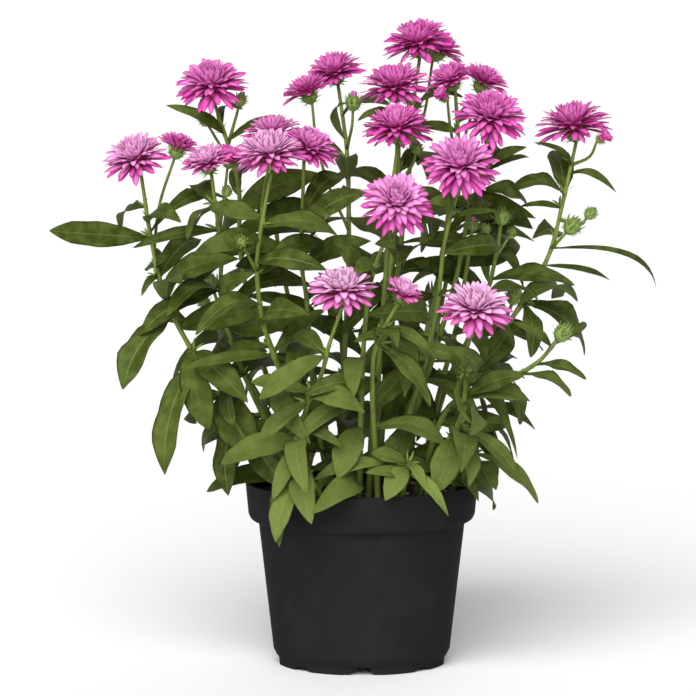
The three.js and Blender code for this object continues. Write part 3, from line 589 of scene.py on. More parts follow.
# The filling: a rough top, whose unevenness is [size, height], and crumbs on it
SOIL_EDGE = 65.6
SOIL_GAP = 0.35
SOIL_STEP = 1.8
SOIL_RINGS = 70
SOIL_SWELL = (14, 1.1)
SOIL_LUMPS = (3.2, 0.9)
SOIL_GRIT = (1.3, 0.35)
EDGE_DROP = 2.2
EDGE_WIDTH = 12
LIGHT_CRUMB = 30
CRUMB_DRAWS = 7
CRUMB_MARGIN = 2.5
CRUMB_SIZES = (0.4, 1.9)
CRUMB_POWER = 1.3
GRAIN_SIZES = (0.9, 1.5)
CRUMB_STRETCH = (0.6, 1.25)
CRUMB_DENTS = (0.75, 1.15)
CRUMB_RISE = 0.25

# Colours that the settings leave out, because each stands in one place
VEIN_GREEN = (0.20, 0.27, 0.09)
RIB_GREEN = (0.22, 0.29, 0.09)
LOWER_RIB_GREEN = (0.33, 0.38, 0.2)
MARGIN_RED = (0.11, 0.05, 0.04)
STALK_RED = (0.16, 0.05, 0.035)
BRACT_ROOT_GREEN = (0.20, 0.30, 0.05)
BRACT_TIP_GREEN = (0.085, 0.14, 0.02)
BRACT_LIGHT_GREEN = (0.24, 0.34, 0.06)
BRACT_EDGE_GREEN = (0.32, 0.40, 0.13)
HEART_WHITE = (0.86, 0.64, 0.80)
GRAIN_WHITE = (0.62, 0.58, 0.5)

# The photograph's view: a long lens from the front, a little above the plant
CAMERA_PLACE = (-0.00825, -3.5, 0.63)
CAMERA_AIM = (-0.00825, 0.0, 0.1904)
SENSOR_WIDTH = 36.0
LENS = 304.0
KEY_PLACE = (-0.5, -2.2, 2.1)
KEY_SPREAD = 50
FILL_PLACE = (0.1, -3.0, 0.9)
FILL_SPREAD = 40
BACK_PLACE = (0.6, 3.0, 1.6)
BACK_SPREAD = 70
LIGHT_AIM = (0.0, 0.0, 0.2)
FLOOR_HALF = 60


class PotSettings(bpy.types.PropertyGroup):
    """The nursery pot and its filling."""

    plastic: FloatVectorProperty(
        name="Plastic", description="Colour of the pot", subtype="COLOR", size=3,
        default=(0.0145, 0.0147, 0.0152))
    roughness: FloatProperty(
        name="Roughness", description="How dull the pot's plastic is", default=0.6, min=0, max=1)
    peat: FloatVectorProperty(
        name="Peat", description="Colour of the moist filling", subtype="COLOR", size=3,
        default=(0.030, 0.017, 0.010))
    crumbs: IntProperty(
        name="Crumbs", description="How many loose crumbs lie on the filling", default=900, min=0)


class PlantSettings(bpy.types.PropertyGroup):
    """Stems, leaves and flower heads."""

    old_leaf: FloatVectorProperty(
        name="Old leaf", description="Colour of a leaf in the shade of the plant", subtype="COLOR", size=3,
        default=(0.039, 0.060, 0.003))
    # painted light: leaves are also painted towards this colour where they stand lit at the plant's front
    young_leaf: FloatVectorProperty(
        name="Young leaf", description="Colour of a young leaf", subtype="COLOR", size=3,
        default=(0.172, 0.232, 0.050))
    underside: FloatVectorProperty(
        name="Underside", description="Colour of a leaf from below", subtype="COLOR", size=3,
        default=(0.130, 0.176, 0.034))
    stalk: FloatVectorProperty(
        name="Stalk", description="Colour of the stems", subtype="COLOR", size=3,
        default=(0.170, 0.240, 0.024))
    petal: FloatVectorProperty(
        name="Petal", description="Colour of the rays", subtype="COLOR", size=3,
        default=(0.620, 0.036, 0.360))
    petal_pale: FloatVectorProperty(
        name="Pale petal", description="Colour of the heart and of the light stripes", subtype="COLOR",
        size=3, default=(0.800, 0.340, 0.690))
    # this colour is also the painted shade at the roots of the rays
    petal_deep_and_shade: FloatVectorProperty(
        name="Deep petal", description="Colour of the undersides and roots of the rays",
        subtype="COLOR", size=3, default=(0.500, 0.007, 0.200))
    leaf_thickness: FloatProperty(
        name="Leaf thickness", description="Thickness of a leaf blade", unit="LENGTH", default=0.0005,
        min=0.0001)
    ray_width: FloatProperty(
        name="Ray width", description="Width of a ray of a full head", unit="LENGTH", default=0.0043,
        min=0.001)


class StudioSettings(bpy.types.PropertyGroup):
    """The floor and the lights."""

    floor: FloatVectorProperty(
        name="Floor", description="Colour of the floor", subtype="COLOR", size=3,
        default=(0.985, 0.985, 0.985))
    key_strength: FloatProperty(
        name="Key light", description="Strength of the wide soft light from above", default=3.3, min=0)
    fill_strength: FloatProperty(
        name="Fill light", description="Strength of the soft light from the front", default=1.0, min=0)
    back_strength: FloatProperty(
        name="Back light", description="Strength of the soft light from behind", default=0.7, min=0)
    room: FloatProperty(
        name="Room", description="Brightness of the pale room", default=0.25, min=0)


# Vectors and repeatable draws

def vector(*parts):
    return np.array(parts, float)


def unit(v):
    return v / np.linalg.norm(v, axis=-1, keepdims=True)


def draw(number):
    """A repeatable draw between -1 and 1 for a number."""
    wave = math.sin(number * DRAW_STEP) * DRAW_SCALE
    return 2 * (wave - math.floor(wave)) - 1


def varied(middle, spread, number):
    """A value that the draw for a number moves up or down by its spread at most."""
    return middle + spread * draw(number)


def share(number):
    """A repeatable draw between 0 and 1 for a number."""
    return varied(0.5, 0.5, number)


def across(direction):
    """Two unit vectors across a direction, the first as near to X as it can, or to Y beside X."""
    level = vector(0, 1, 0) if abs(direction[0]) > NEAR_X else vector(1, 0, 0)
    first = unit(level - direction * (level @ direction))
    return first, np.cross(direction, first)


def spoke(first, second, turn):
    """The way that lies at an angle between two unit vectors at right angles."""
    return math.cos(turn) * first + math.sin(turn) * second


def turned(v, axis, angle):
    """A vector turned about a unit axis at right angles to it."""
    return v * math.cos(angle) + np.cross(axis, v) * math.sin(angle)


def smooth(value, low, high):
    """0 below low, 1 above high, and an even change between."""
    part = np.clip((value - low) / (high - low), 0, 1)
    return part * part * (3 - 2 * part)


class Curve:
    """A smooth line through points, the same as the one that the plain stems follow."""

    def __init__(self, points):
        p = np.array(points, float)
        self.points = np.vstack([2 * p[0] - p[1], p, 2 * p[-1] - p[-2]])

    def at(self, shares):
        spans = len(self.points) - 3
        along = np.asarray(shares, float) * spans
        span = np.minimum(along.astype(int), spans - 1)
        t = (along - span)[:, None]
        p0, p1, p2, p3 = (self.points[span + i] for i in range(4))
        leave, arrive = (p2 - p0) / 2, (p3 - p1) / 2
        return ((2 * t**3 - 3 * t**2 + 1) * p1 + (t**3 - 2 * t**2 + t) * leave
                + (3 * t**2 - 2 * t**3) * p2 + (t**3 - t**2) * arrive)

    def length(self):
        """Its length, measured along 200 short steps."""
        return np.linalg.norm(np.diff(self.at(np.linspace(0, 1, 201)), axis=0), axis=1).sum()

    def coarse(self):
        """The axis of the plain stem, in a few straight pieces."""
        return self.at(np.linspace(0, 1, max(2, int(self.length() / STEM_STEP + 0.5)) + 1))

    def fine(self):
        return self.at(np.linspace(0, 1, max(5, int(self.length() / STALK_STEP))))


def axis_at(axis, height):
    """The point and the direction of an axis at a height."""
    i = 1
    while i < len(axis) - 1 and axis[i][2] < height:
        i += 1
    low, high = axis[i - 1], axis[i]
    part = (height - low[2]) / (high[2] - low[2])
    return low + (high - low) * part, unit(high - low)


# Surfaces

class Piece:
    """Gathers the skins of one piece, with two painted values on each point.

    blade: how far along and across its blade or stalk a point lies, and 1 on an underside.
    tone: a draw, a colour value of its own for each kind of surface (on a leaf, how young it is together with
    its painted light), and a draw for the whole leaf or ray.
    """

    def __init__(self, name):
        self.name = name
        self.points, self.blade, self.tone = [], [], []
        self.corners, self.sizes, self.slots, self.finishes = [], [], [], []
        self.count = 0

    def add_faces(self, faces, finish):
        self.corners.append(faces.ravel() + self.count)
        self.sizes.append(np.full(len(faces), faces.shape[1]))
        if finish not in self.finishes:
            self.finishes.append(finish)
        self.slots.append(np.full(len(faces), self.finishes.index(finish)))

    def skin(self, rings, blade, tone, finish):
        """A closed skin over rings of points, with a flat face on both ends. The points of a ring run
        against the clock as seen from the last ring."""
        rows, around = rings.shape[:2]
        index = np.arange(rows * around).reshape(rows, around)
        beside = np.roll(index, -1, axis=1)
        quads = np.stack([index[:-1], beside[:-1], beside[1:], index[1:]], axis=-1)
        self.add_faces(quads.reshape(-1, 4), finish)
        self.add_faces(index[:1, ::-1], finish)
        self.add_faces(index[-1:], finish)
        self.keep(rings.reshape(-1, 3), blade, tone)

    def keep(self, points, blade, tone):
        self.points.append(points)
        self.blade.append(np.broadcast_to(np.asarray(blade, float).reshape(-1, 3), points.shape))
        self.tone.append(np.broadcast_to(np.asarray(tone, float).reshape(-1, 3), points.shape))
        self.count += len(points)

    def build(self):
        """Makes the object, in metres."""
        mesh = bpy.data.meshes.new(self.name)
        corners, sizes = np.concatenate(self.corners), np.concatenate(self.sizes)
        mesh.vertices.add(self.count)
        mesh.vertices.foreach_set("co", (np.concatenate(self.points) * MM).ravel())
        mesh.loops.add(len(corners))
        mesh.loops.foreach_set("vertex_index", corners.astype(np.int32))
        mesh.polygons.add(len(sizes))
        mesh.polygons.foreach_set("loop_start", (np.cumsum(sizes) - sizes).astype(np.int32))
        mesh.polygons.foreach_set("loop_total", sizes.astype(np.int32))
        for finish in self.finishes:
            mesh.materials.append(finish_for(finish))
        mesh.polygons.foreach_set("material_index", np.concatenate(self.slots).astype(np.int32))
        for name, values in (("blade", self.blade), ("tone", self.tone)):
            layer = mesh.attributes.new(name, "FLOAT_VECTOR", "POINT")
            layer.data.foreach_set("vector", np.concatenate(values).ravel())
        mesh.update(calc_edges=True)
        mesh.shade_smooth()
        made = bpy.data.objects.new(self.name, mesh)
        bpy.context.scene.collection.objects.link(made)
        return made


def tube(points, radii, sides, ridge=0.0):
    """Rings round a smooth line. A ridge makes them slightly star-shaped."""
    ways = unit(np.gradient(points, axis=0))
    first = across(ways[0])[0]
    angle = 2 * np.pi * np.arange(sides) / sides
    wide = 1 + ridge * np.cos(angle * sides / 2)
    rings = []
    for point, way, radius in zip(points, ways, radii):
        first = unit(first - way * (first @ way))
        second = np.cross(way, first)
        ring = np.outer(np.cos(angle) * wide, first) + np.outer(np.sin(angle) * wide, second)
        rings.append(point + ring * radius)
    return np.array(rings)


def tube_paint(rings):
    """Along and round values for the rings of a tube."""
    rows, around = rings.shape[:2]
    along, turn = np.meshgrid(np.linspace(0, 1, rows), np.arange(around) / around, indexing="ij")
    return np.stack([along, turn, np.zeros_like(along)], axis=-1)


def strip(centre, side, normal, half, columns, lift, thickness):
    """Rings round a thin blade: its upper side from left to right, and its underside back."""
    across_blade = side[:, None] * (half[:, None] * columns)[..., None]
    upper = centre[:, None] + across_blade + normal[:, None] * lift[..., None]
    body = np.sin(np.arccos(columns[1:-1]))[None, :] ** 0.5 * np.ones((len(centre), 1))
    depth = thickness * body * np.minimum(1, half / (2 * thickness))[:, None]
    under = upper[:, 1:-1] - normal[:, None] * depth[..., None]
    return np.concatenate([upper, under[:, ::-1]], axis=1)


def strip_paint(rows, columns):
    """Along, across and underside values for the rings of a blade."""
    turn = np.concatenate([columns, columns[-2:0:-1]])
    under = np.concatenate([np.zeros(len(columns)), np.ones(len(columns) - 2)])
    under[[0, len(columns) - 1]] = 0.5
    along, turn = np.meshgrid(rows, turn, indexing="ij")
    return np.stack([along, turn, np.broadcast_to(under, along.shape)], axis=-1)


# Leaves

def leaf_on(axis, height, tip, width, bend, turn):
    """A leaf that leaves an axis at a height, before its place is settled."""
    point, direction = axis_at(axis, height)
    return {"height": height, "base": point, "face": direction, "tip": tip, "width": width, "bend": bend,
            "turn": math.radians(turn), "is_small": width < SMALL_LEAF_WIDTH}


def listed_places(axis, height, tip, width, bend, turn):
    """The places of a leaf of the tables: nearer and further back, then shorter."""
    for size in LISTED_SIZES:
        for depth in LISTED_DEPTHS:
            leaf = leaf_on(axis, height, vector(*tip) + vector(0, depth, 0), width * size, bend, turn)
            leaf["face"] = leaf["face"] - vector(0, FRONT_TILT, 0)
            leaf["tip"] = leaf["base"] + (leaf["tip"] - leaf["base"]) * size
            yield leaf


def is_in_crown(point):
    """Whether a point lies between the sides of the crown at its height."""
    x, y, z = point
    left, right = (np.interp(z, CROWN[:, 0], CROWN[:, side]) for side in (1, 2))
    return left < x < right and abs(y) < REACH_BACK


def rule_places(axis, height, top, number, sizes=RULE_SIZES, slopes=RULE_SLOPES):
    """The places of a leaf of the rule: round the stem, at a few slopes. Young leaves near the top
    stand up and old ones hang, and most point away from the middle of the plant."""
    age = min(1, (top - height) / LEAF_FULL_GROWN)
    grown = LEAF_SHORTEST + (LEAF_LONGEST - LEAF_SHORTEST) * age**GROWTH_POWER
    full_length = grown * varied(1, LEAF_VARIATION, number)
    slenderness = YOUNG_SLENDERNESS + (OLD_SLENDERNESS - YOUNG_SLENDERNESS) * age
    level = YOUNG_SLOPE + (OLD_SLOPE - YOUNG_SLOPE) * age
    point = axis_at(axis, height)[0]
    outward = math.atan2(point[1], point[0])
    turn = (number * GOLDEN_ANGLE + math.pi) % (2 * math.pi) - math.pi
    for size in sizes:
        for slope in slopes:
            for swing in RULE_SWINGS:
                angle = outward + TURN_SHARE * turn + math.radians(swing)
                out = unit(vector(math.cos(angle), math.sin(angle), level + slope))
                length = full_length * size
                tip = point + out * length
                twist = LEAF_TWIST * draw(number + 0.5)
                leaf = leaf_on(axis, height, tip, length * slenderness, LEAF_ARCH, twist)
                away = vector(math.cos(outward), math.sin(outward), 0)
                leaf["face"] = leaf["face"] + OUTWARD_TILT * away
                leaf["is_small"] = True
                if is_in_crown(tip):
                    yield leaf


def first_found(places, tips):
    """The first place whose tip is a corner of the plain solid, or None."""
    for leaf in places:
        if tips.find(leaf["tip"])[2] < FOUND_WITHIN:
            return leaf
    return None


def leaf_half_width(rows, is_small):
    """A lanceolate outline: 1 at its widest, with a narrow foot and a pointed tip."""
    rise, fall = SMALL_OUTLINE if is_small else LISTED_OUTLINE
    widest = rise / (rise + fall)
    outline = (rows / widest) ** rise * ((1 - rows) / (1 - widest)) ** fall
    return np.maximum(outline, LEAF_FOOT * (1 - rows) + LEAF_POINT)


def leaf_rings(leaf, thickness, seed):
    """A leaf folded along its rib, arched, waved along both edges and a little twisted."""
    chord = leaf["tip"] - leaf["base"]
    length = np.linalg.norm(chord)
    along = chord / length
    side = turned(unit(np.cross(along, leaf["face"])), along, leaf["turn"])
    up = np.cross(side, along)
    rows, columns = LEAF_ROWS, LEAF_COLUMNS
    rise = leaf["bend"] * 4 * rows * (1 - rows) * length
    rise = rise - varied(TIP_DROOP, TIP_DROOP, seed + 4) * rows**4 * length
    centre = leaf["base"] + np.outer(rows * length, along) + np.outer(rise, up)
    normal = unit(up - np.outer(leaf["bend"] * 4 * (1 - 2 * rows), along))
    twist = BLADE_TWIST * draw(seed) * (rows - TWIST_START)
    sides = side * np.cos(twist)[:, None] + normal * np.sin(twist)[:, None]
    normal = unit(np.cross(sides, along) + normal * 0.001)
    width = leaf["width"]
    outline = leaf_half_width(rows, leaf["is_small"])
    uneven = 1 + EDGE_VARIATION * np.array([draw(seed + 3.7 * row) for row in range(len(rows))])
    half = width / 2 * outline * uneven
    reach = np.abs(columns)
    lift = varied(LEAF_FOLD, FOLD_VARIATION, seed + 2) * width * np.outer(outline, reach**FOLD_POWER)
    pitch, crest = SMALL_WAVE if leaf["is_small"] else LISTED_WAVE
    wave = np.cos(2 * np.pi * (rows - crest) / pitch)
    wave = wave * np.minimum(1, FOOT_STEEPNESS[0] * rows) * outline**0.5
    swell = np.sin(2 * np.pi * (rows * SWELLS + draw(seed + 1)))
    lift = lift - LEAF_WAVE * width * np.outer(wave, np.sign(columns) * reach**2)
    lift = lift + LEAF_SWELL * width * np.outer(swell * outline, reach**2)
    rib = np.minimum(1, FOOT_STEEPNESS[1] * outline) * (1 - RIB_FADING * rows)
    lift = lift - RIB_DEPTH * np.outer(rib, np.exp(-(columns / RIB_WIDTH)**2))
    return strip(centre, sides, normal, half, columns, lift, thickness)


def add_leaf(piece, leaf, thickness, youth_and_light, seed):
    tone = (share(seed + 5), youth_and_light, share(seed + 9))
    piece.skin(leaf_rings(leaf, thickness, seed), strip_paint(LEAF_ROWS, LEAF_COLUMNS), tone, "leaf")


class Room:
    """Where leaves and heads stand already, in small cells of space and of the front and side view."""

    def __init__(self):
        self.cells = set()
        self.front, self.side = set(), set()

    def cells_of(self, rings):
        """The cells that the points lie in."""
        return set(map(tuple, np.floor(rings.reshape(-1, 3) / FILL_CELL).astype(int)))

    def add(self, rings):
        cells = self.cells_of(rings)
        self.cells |= cells
        self.front |= {(x, z) for x, y, z in cells}
        self.side |= {(y, z) for x, y, z in cells}

    def taken(self, rings):
        """How much of a leaf lies in cells that are taken, its root left out."""
        cells = self.cells_of(rings[3:])
        return len(cells & self.cells) / len(cells)

    def gain(self, rings):
        """How many cells of the front view, and half of those of the side view, a leaf would newly cover."""
        cells = self.cells_of(rings)
        front = {(x, z) for x, y, z in cells} - self.front
        side = {(y, z) for x, y, z in cells} - self.side
        return len(front) + SIDE_SHARE * len(side)

    def is_free(self, rings):
        """Whether a leaf keeps within the plant's reach and above the pot's rim."""
        x, y, z = rings.reshape(-1, 3).T
        left, right = (np.interp(z, FILL_SIDES[:, 0], FILL_SIDES[:, side]) for side in (1, 2))
        is_inside = (left < x) & (x < right) & (np.abs(y) < REACH_BACK)
        return np.all(is_inside & (z > POT_HEIGHT + RIM_CLEARANCE))

    def add_head(self, centre, radius, facing):
        """Takes the space of a flower head: a deep dish."""
        first, second = across(facing)
        for height in HEAD_SPACE * radius:
            for reach in np.arange(0, radius, FILL_CELL / 2):
                angles = np.linspace(0, 2 * np.pi, 4 + int(2 * np.pi * reach / 2))
                ring = np.outer(np.cos(angles), first) + np.outer(np.sin(angles), second)
                self.add(centre + facing * height + ring * reach)


def painted_front_light(leaf):
    """How much painted light a leaf gets: leaves low down at the front are painted lighter, as if lit."""
    _, y, z = (leaf["base"] + leaf["tip"]) / 2
    front = smooth(-y, *LIT_FRONT)
    return LEAST_YOUTH + FOOT_PAINTED_LIGHT * front * smooth(-z, *LIT_FOOT) + FRONT_PAINTED_LIGHT * front


# Cups and buds

def add_bract(piece, root, way, out, length, width, curl, seed):
    """A narrow pointed bract that leaves its root along way and curls outwards."""
    side = unit(np.cross(way, out))
    bends = BRACT_ROWS * curl
    ways = np.outer(np.cos(bends), way) + np.outer(np.sin(bends), unit(out - way * (out @ way)))
    steps = ways[1:] * np.diff(BRACT_ROWS)[:, None]
    centre = root + length * np.vstack([np.zeros(3), np.cumsum(steps, axis=0)])
    half = width / 2 * BRACT_OUTLINE
    lift = -BRACT_FOLD * np.outer(half, np.abs(BRACT_COLUMNS))
    rings = strip(centre, side * np.ones_like(centre), np.cross(side, ways), half, BRACT_COLUMNS, lift,
                  BRACT_THICKNESS)
    piece.skin(rings, strip_paint(BRACT_ROWS, BRACT_COLUMNS), (share(seed), 0.5, 0.5), "bract")


def add_cup(piece, centre, facing, radius, depth, body, layers, seed):
    """A round green cup on the end of a stalk, covered by layers of bracts."""
    heights, widths = np.array(body).T
    rings = tube(centre + np.outer(heights * depth, facing), widths * radius, CUP_SIDES)
    piece.skin(rings, tube_paint(rings), (0.5, 0.4, 0.5), "bract")
    first, second = across(facing)
    for row, (many, reach, height, angle, length, width, curl) in enumerate(layers):
        for k in range(many):
            turn = 2 * np.pi * (k + 0.5 * (row % 2)) / many + BRACT_SCATTER * draw(seed + 11 * k + row)
            out = spoke(first, second, turn)
            tilt = math.radians(varied(angle, BRACT_SWAY, seed + 7 * k + 3 * row))
            way = spoke(facing, out, tilt)
            root = centre + out * reach * radius + facing * height * radius
            long = length * radius * varied(1, BRACT_SCATTER, seed + 5 * k + row)
            add_bract(piece, root, way, out, long, width * radius, curl, seed + k + 31 * row)


def add_tuft(piece, leaf, way, seed):
    """A tuft of tiny leaves between a leaf and its stem."""
    middle = unit(way + TUFT_LEAN * unit(leaf["tip"] - leaf["base"]))
    first, second = across(middle)
    for k in range(TUFT_LEAVES):
        turn = 2 * np.pi * varied(k, TUFT_SCATTER, seed + k) / TUFT_LEAVES
        out = spoke(first, second, turn)
        long = TUFT_LENGTH * varied(1, TUFT_VARIATION, seed + 3 * k)
        root = leaf["base"] + middle * TUFT_HEIGHT + out * TUFT_REACH
        start = unit(middle + TUFT_SPREAD * out)
        add_bract(piece, root, start, out, long, TUFT_WIDTH * long, TUFT_CURL, seed + k)


# Flower heads

def head_openness(radius):
    """0 for a head that just opens, 1 for a full one."""
    return float(np.clip((radius - OPENING_RADIUS) / (OPENED_RADIUS - OPENING_RADIUS), 0, 1))


def add_ray(piece, root, out, facing, rise, bend, length, width, gutter, twist, tone):
    """One strap-shaped ray that rises from its root and bends along its length."""
    rows, columns = RAY_ROWS, RAY_COLUMNS
    tilts = np.radians(rise + bend * rows)
    ways = np.outer(np.cos(tilts), out) + np.outer(np.sin(tilts), facing)
    steps = (ways[1:] + ways[:-1]) / 2 * np.diff(rows)[:, None]
    centre = root + length * np.vstack([np.zeros(3), np.cumsum(steps, axis=0)])
    side = np.cross(out, facing)
    normal = np.cross(side, ways)
    turn = (twist * rows)[:, None]
    sides = side * np.cos(turn) + normal * np.sin(turn)
    normal = normal * np.cos(turn) - side * np.sin(turn)
    past_waist = np.clip(rows - RAY_WAIST, 0, 1) / (1 - RAY_WAIST)
    taper = np.clip(1 - past_waist ** TIP_POWERS[0], 0.0, 1) ** TIP_POWERS[1]
    half = width / 2 * (0.5 + 0.5 * smooth(rows, 0, RAY_WAIST)) * np.maximum(taper, TIP_WIDTH)
    lift = gutter * np.outer(half, columns**2)
    rings = strip(centre, sides, normal, half, columns, lift, RAY_THICKNESS)
    piece.skin(rings, strip_paint(rows, columns), tone, "ray")


def dome_reach(rise, radius, height):
    """How far the outline of a dome lies from its middle, in the direction that rises by an angle."""
    angle = math.radians(max(rise, 0))
    return radius / math.hypot(math.cos(angle), math.sin(angle) * radius / height)


def bell(value, middle, spread):
    """1 at its middle, and soon 0 on both sides."""
    return math.exp(-((value - middle) / spread) ** 2)


def ray_rise(heart, openness):
    """How steeply a ray leaves the head: the lowest ones lie flat, unless the head just opens."""
    rise = RAY_LOWEST + (RAY_STEEPEST - RAY_LOWEST) * heart**RISE_POWER
    return rise + (1 - openness) * CLOSED_RISE * (1 - heart)


def ray_bend(heart, droop, number):
    """How far a ray bends: the lower ones droop, those halfway arch over, those in the heart close in."""
    loose = LOOSE_BEND[0] + LOOSE_BEND[1] * bell(heart, *LOOSE_PLACE)
    closing = HEART_BEND * smooth(heart, *HEART_PLACES)
    return -droop - ARCH_BEND * bell(heart, *ARCH_PLACE) + closing + loose * draw(number)


def add_core(piece, centre, facing, size):
    """The domed body that the rays stand on."""
    heights, widths = CORE_OUTLINE.T
    line = centre + np.outer((CORE_FOOT + CORE_HEIGHT * heights) * size, facing)
    rings = tube(line, CORE_RADIUS * widths * size, CUP_SIDES)
    paint = tube_paint(rings)
    # painted as the root of a ray, so the core takes the painted shade of the ray roots
    paint[..., 0] = 0
    piece.skin(rings, paint, (0.5, 0.2, 0), "ray")


def bloom_piece(name, centre, radius, facing, seed, plant):
    """A double head: rays on a spiral round its axis, the lowest spread and the heart upright."""
    piece = Piece(name)
    size = radius / FULL_RADIUS
    openness = head_openness(radius)
    facing = unit(facing)
    first, second = across(facing)
    paleness, broadness = HEAD_LOOKS.get(name.split("_")[1], USUAL_LOOK)
    ray_width = plant.ray_width / MM * (RAY_BREADTH[0] + RAY_BREADTH[1] * broadness)
    opened = CLOSED_COUNT + (1 - CLOSED_COUNT) * openness
    count = int(RAY_COUNT * opened * (1 - BROAD_COUNT * broadness))
    reach = HEAD_SPREAD * FULL_RADIUS
    droop = LEAST_DROOP + FACING_DROOP * smooth(-facing[1], *DROOP_FACINGS)
    for ray in range(count):
        n = seed + ray
        heart = ray / (count - 1)
        out = spoke(first, second, varied(ray * GOLDEN_ANGLE, TURN_VARIATION, n))
        rise = ray_rise(heart, openness)
        core = dome_reach(rise, CORE_RADIUS, CORE_HEIGHT) * CORE_DEPTH
        way = spoke(out, facing, math.radians(rise))
        root = centre + (facing * CORE_FOOT + way * core) * size
        long = (dome_reach(rise, reach, HEAD_HEIGHT * reach) - core) * size
        long *= varied(*LENGTH_VARIATION, n + 0.1)
        wide = ray_width * size**0.5 * (SPIRAL_WIDTHS[0] - SPIRAL_WIDTHS[1] * heart)
        wide *= varied(1, WIDTH_VARIATION, n + 0.6)
        bend = ray_bend(heart, droop, n + 0.5)
        start = rise - bend * 0.5 * smooth(heart, *LEAN_PLACES) + RISE_VARIATION * draw(n + 0.4)
        gutter = RAY_GUTTER[0] + RAY_GUTTER[1] * heart
        tone = (share(n + 0.2), heart, paleness)
        add_ray(piece, root, out, facing, start, bend, long, wide, gutter, RAY_TWIST * draw(n + 0.7), tone)
    add_core(piece, centre, facing, size)
    return piece


# The growing plant

class Stem:
    """One leafy stem or shoot: its lines, the heads and buds on them, and its leaves."""

    def __init__(self, solid, parts, order):
        self.solid, self.parts, self.order = solid, parts, order
        self.is_shoot = solid.startswith("shoot")
        self.lines, self.heads, self.buds, self.leaves = [], [], [], []
        x, y = parts["route"][0]
        route = [[x, y, SOIL_TOP - ROOT_DEPTH], *parts["route"][1:]]
        curve = self.grow(route, parts, BASE_RADIUS, TOP_RADIUS)
        self.axis, self.line = curve.coarse(), curve.fine()
        for height, way, end in parts.get("branches", []):
            start = axis_at(self.line, height)[0]
            self.grow([start, *way], end, BRANCH_RADIUS, BRANCH_TOP_RADIUS)

    def grow(self, points, parts, base_radius, top_radius):
        """Adds one line that ends in a head, a bud or a bare tip."""
        way = [vector(*point) for point in points]
        if "bloom" in parts:
            centre, radius, facing = parts["bloom"]
            centre, facing = vector(*centre), unit(vector(*facing))
            self.heads.append((centre, radius, facing))
            way.append(centre - facing * CUP_DEPTH * radius / FULL_RADIUS)
        elif "bud" in parts:
            centre, radius = vector(*parts["bud"][0]), parts["bud"][1]
            facing = unit(centre - way[-1])
            self.buds.append((centre, radius, facing))
            way.append(centre - facing * BUD_NECK * radius)
        curve = Curve(way)
        self.lines.append((curve.fine(), base_radius, top_radius))
        return curve

    @property
    def top(self):
        return self.axis[-1][2]

    def find_leaves(self):
        """Takes the leaves that the frame shows: those of its table, then those of its rule."""
        corners = corners_of(self.solid)
        wanted = [listed_places(self.axis, *leaf) for leaf in self.parts.get("leaves", [])]
        number = RULE_DRAWS * self.order
        height = varied(LOWEST_LEAF, LOWEST_VARIATION, self.order)
        while height < self.top - BARE_TOP:
            x, y, _ = axis_at(self.axis, height)[0]
            if height > DARK_HEIGHT or math.hypot(x, y) > DARK_RADIUS:
                wanted.append(rule_places(self.axis, height, self.top, number))
            number += 1
            height += LEAF_SPACING
        found = [first_found(places, corners) for places in wanted]
        self.leaves = [leaf for leaf in found if leaf]
        for leaf in self.leaves:
            leaf["base"] = axis_at(self.line, leaf["height"])[0]
            if not leaf["is_small"]:
                leaf["width"] *= LISTED_BREADTH
            else:
                leaf["width"] *= varied(*RULE_BREADTH, 7 * leaf["height"])
                leaf["bend"] += varied(*RULE_ARCH, 3 * leaf["height"])
                leaf["face"] = leaf["face"] - vector(0, FRONT_TILT, 0)

    def fill(self, room):
        """Adds leaves between the others, where they close the widest gaps and there is room for them."""
        number = FILL_DRAWS[0] + FILL_DRAWS[1] * self.order
        height = varied(FILL_LOWEST, FILL_VARIATION, number)
        while height < min(self.top - BARE_TOP, FILL_HIGHEST):
            best, most = None, FILL_GAIN
            places = rule_places(self.line, height, self.top, number, FILL_SIZES, FILL_SLOPES)
            for way, leaf in enumerate(places):
                leaf["width"] *= varied(*FILL_BREADTH, number + 1.3)
                leaf["turn"] = FILL_TURN * draw(number + 3.1 * way)
                leaf["bend"] = LEAF_ARCH * varied(*FILL_ARCH, number + 0.7 * way)
                leaf["face"] = leaf["face"] - vector(0, FRONT_TILT, 0)
                rings = leaf_rings(leaf, COARSE_THICKNESS, number)
                gain = room.gain(rings)
                if gain > most and room.is_free(rings) and room.taken(rings) < FILL_TAKEN:
                    best, most = (leaf, rings), gain
            if best:
                self.leaves.append(best[0])
                room.add(best[1])
            number += 1
            height += FILL_SPACING


def corners_of(name):
    """The corners of a plain solid, in millimetres, for a search by place."""
    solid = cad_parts[name]
    tree = kdtree.KDTree(len(solid.data.vertices))
    for corner in solid.data.vertices:
        tree.insert((solid.matrix_world @ corner.co) / MM, corner.index)
    tree.balance()
    return tree


def grown_stems():
    """All stems with their leaves."""
    tables = {f"stem_{key}": parts for key, parts in STEMS.items()}
    tables.update({f"shoot_{key}": parts for key, parts in SHOOTS.items()})
    stems = [Stem(name, parts, order) for order, (name, parts) in enumerate(tables.items())]
    room = Room()
    for stem in stems:
        stem.find_leaves()
        for leaf in stem.leaves:
            room.add(leaf_rings(leaf, COARSE_THICKNESS, 1))
        for centre, radius, facing in stem.heads:
            room.add_head(centre, radius, facing)
    for stem in stems:
        stem.fill(room)
    return stems


def add_stalks(piece, stem):
    """The lines of a stem, which swells where its leaves leave it."""
    for number, (line, base_radius, top_radius) in enumerate(stem.lines):
        radii = np.linspace(base_radius, top_radius, len(line))
        if number == 0:
            for leaf in stem.leaves:
                nearness = np.exp(-((line[:, 2] - leaf["height"]) / SWELLING_LENGTH) ** 2)
                radii = radii * (1 + NODE_SWELLING * nearness)
        else:
            radii[:2] *= BRANCH_ROOT
        rings = tube(line, radii, STALK_SIDES, STALK_RIDGE)
        piece.skin(rings, tube_paint(rings), (share(stem.order + 0.1 * number), 0.3, 0.5), "stalk")


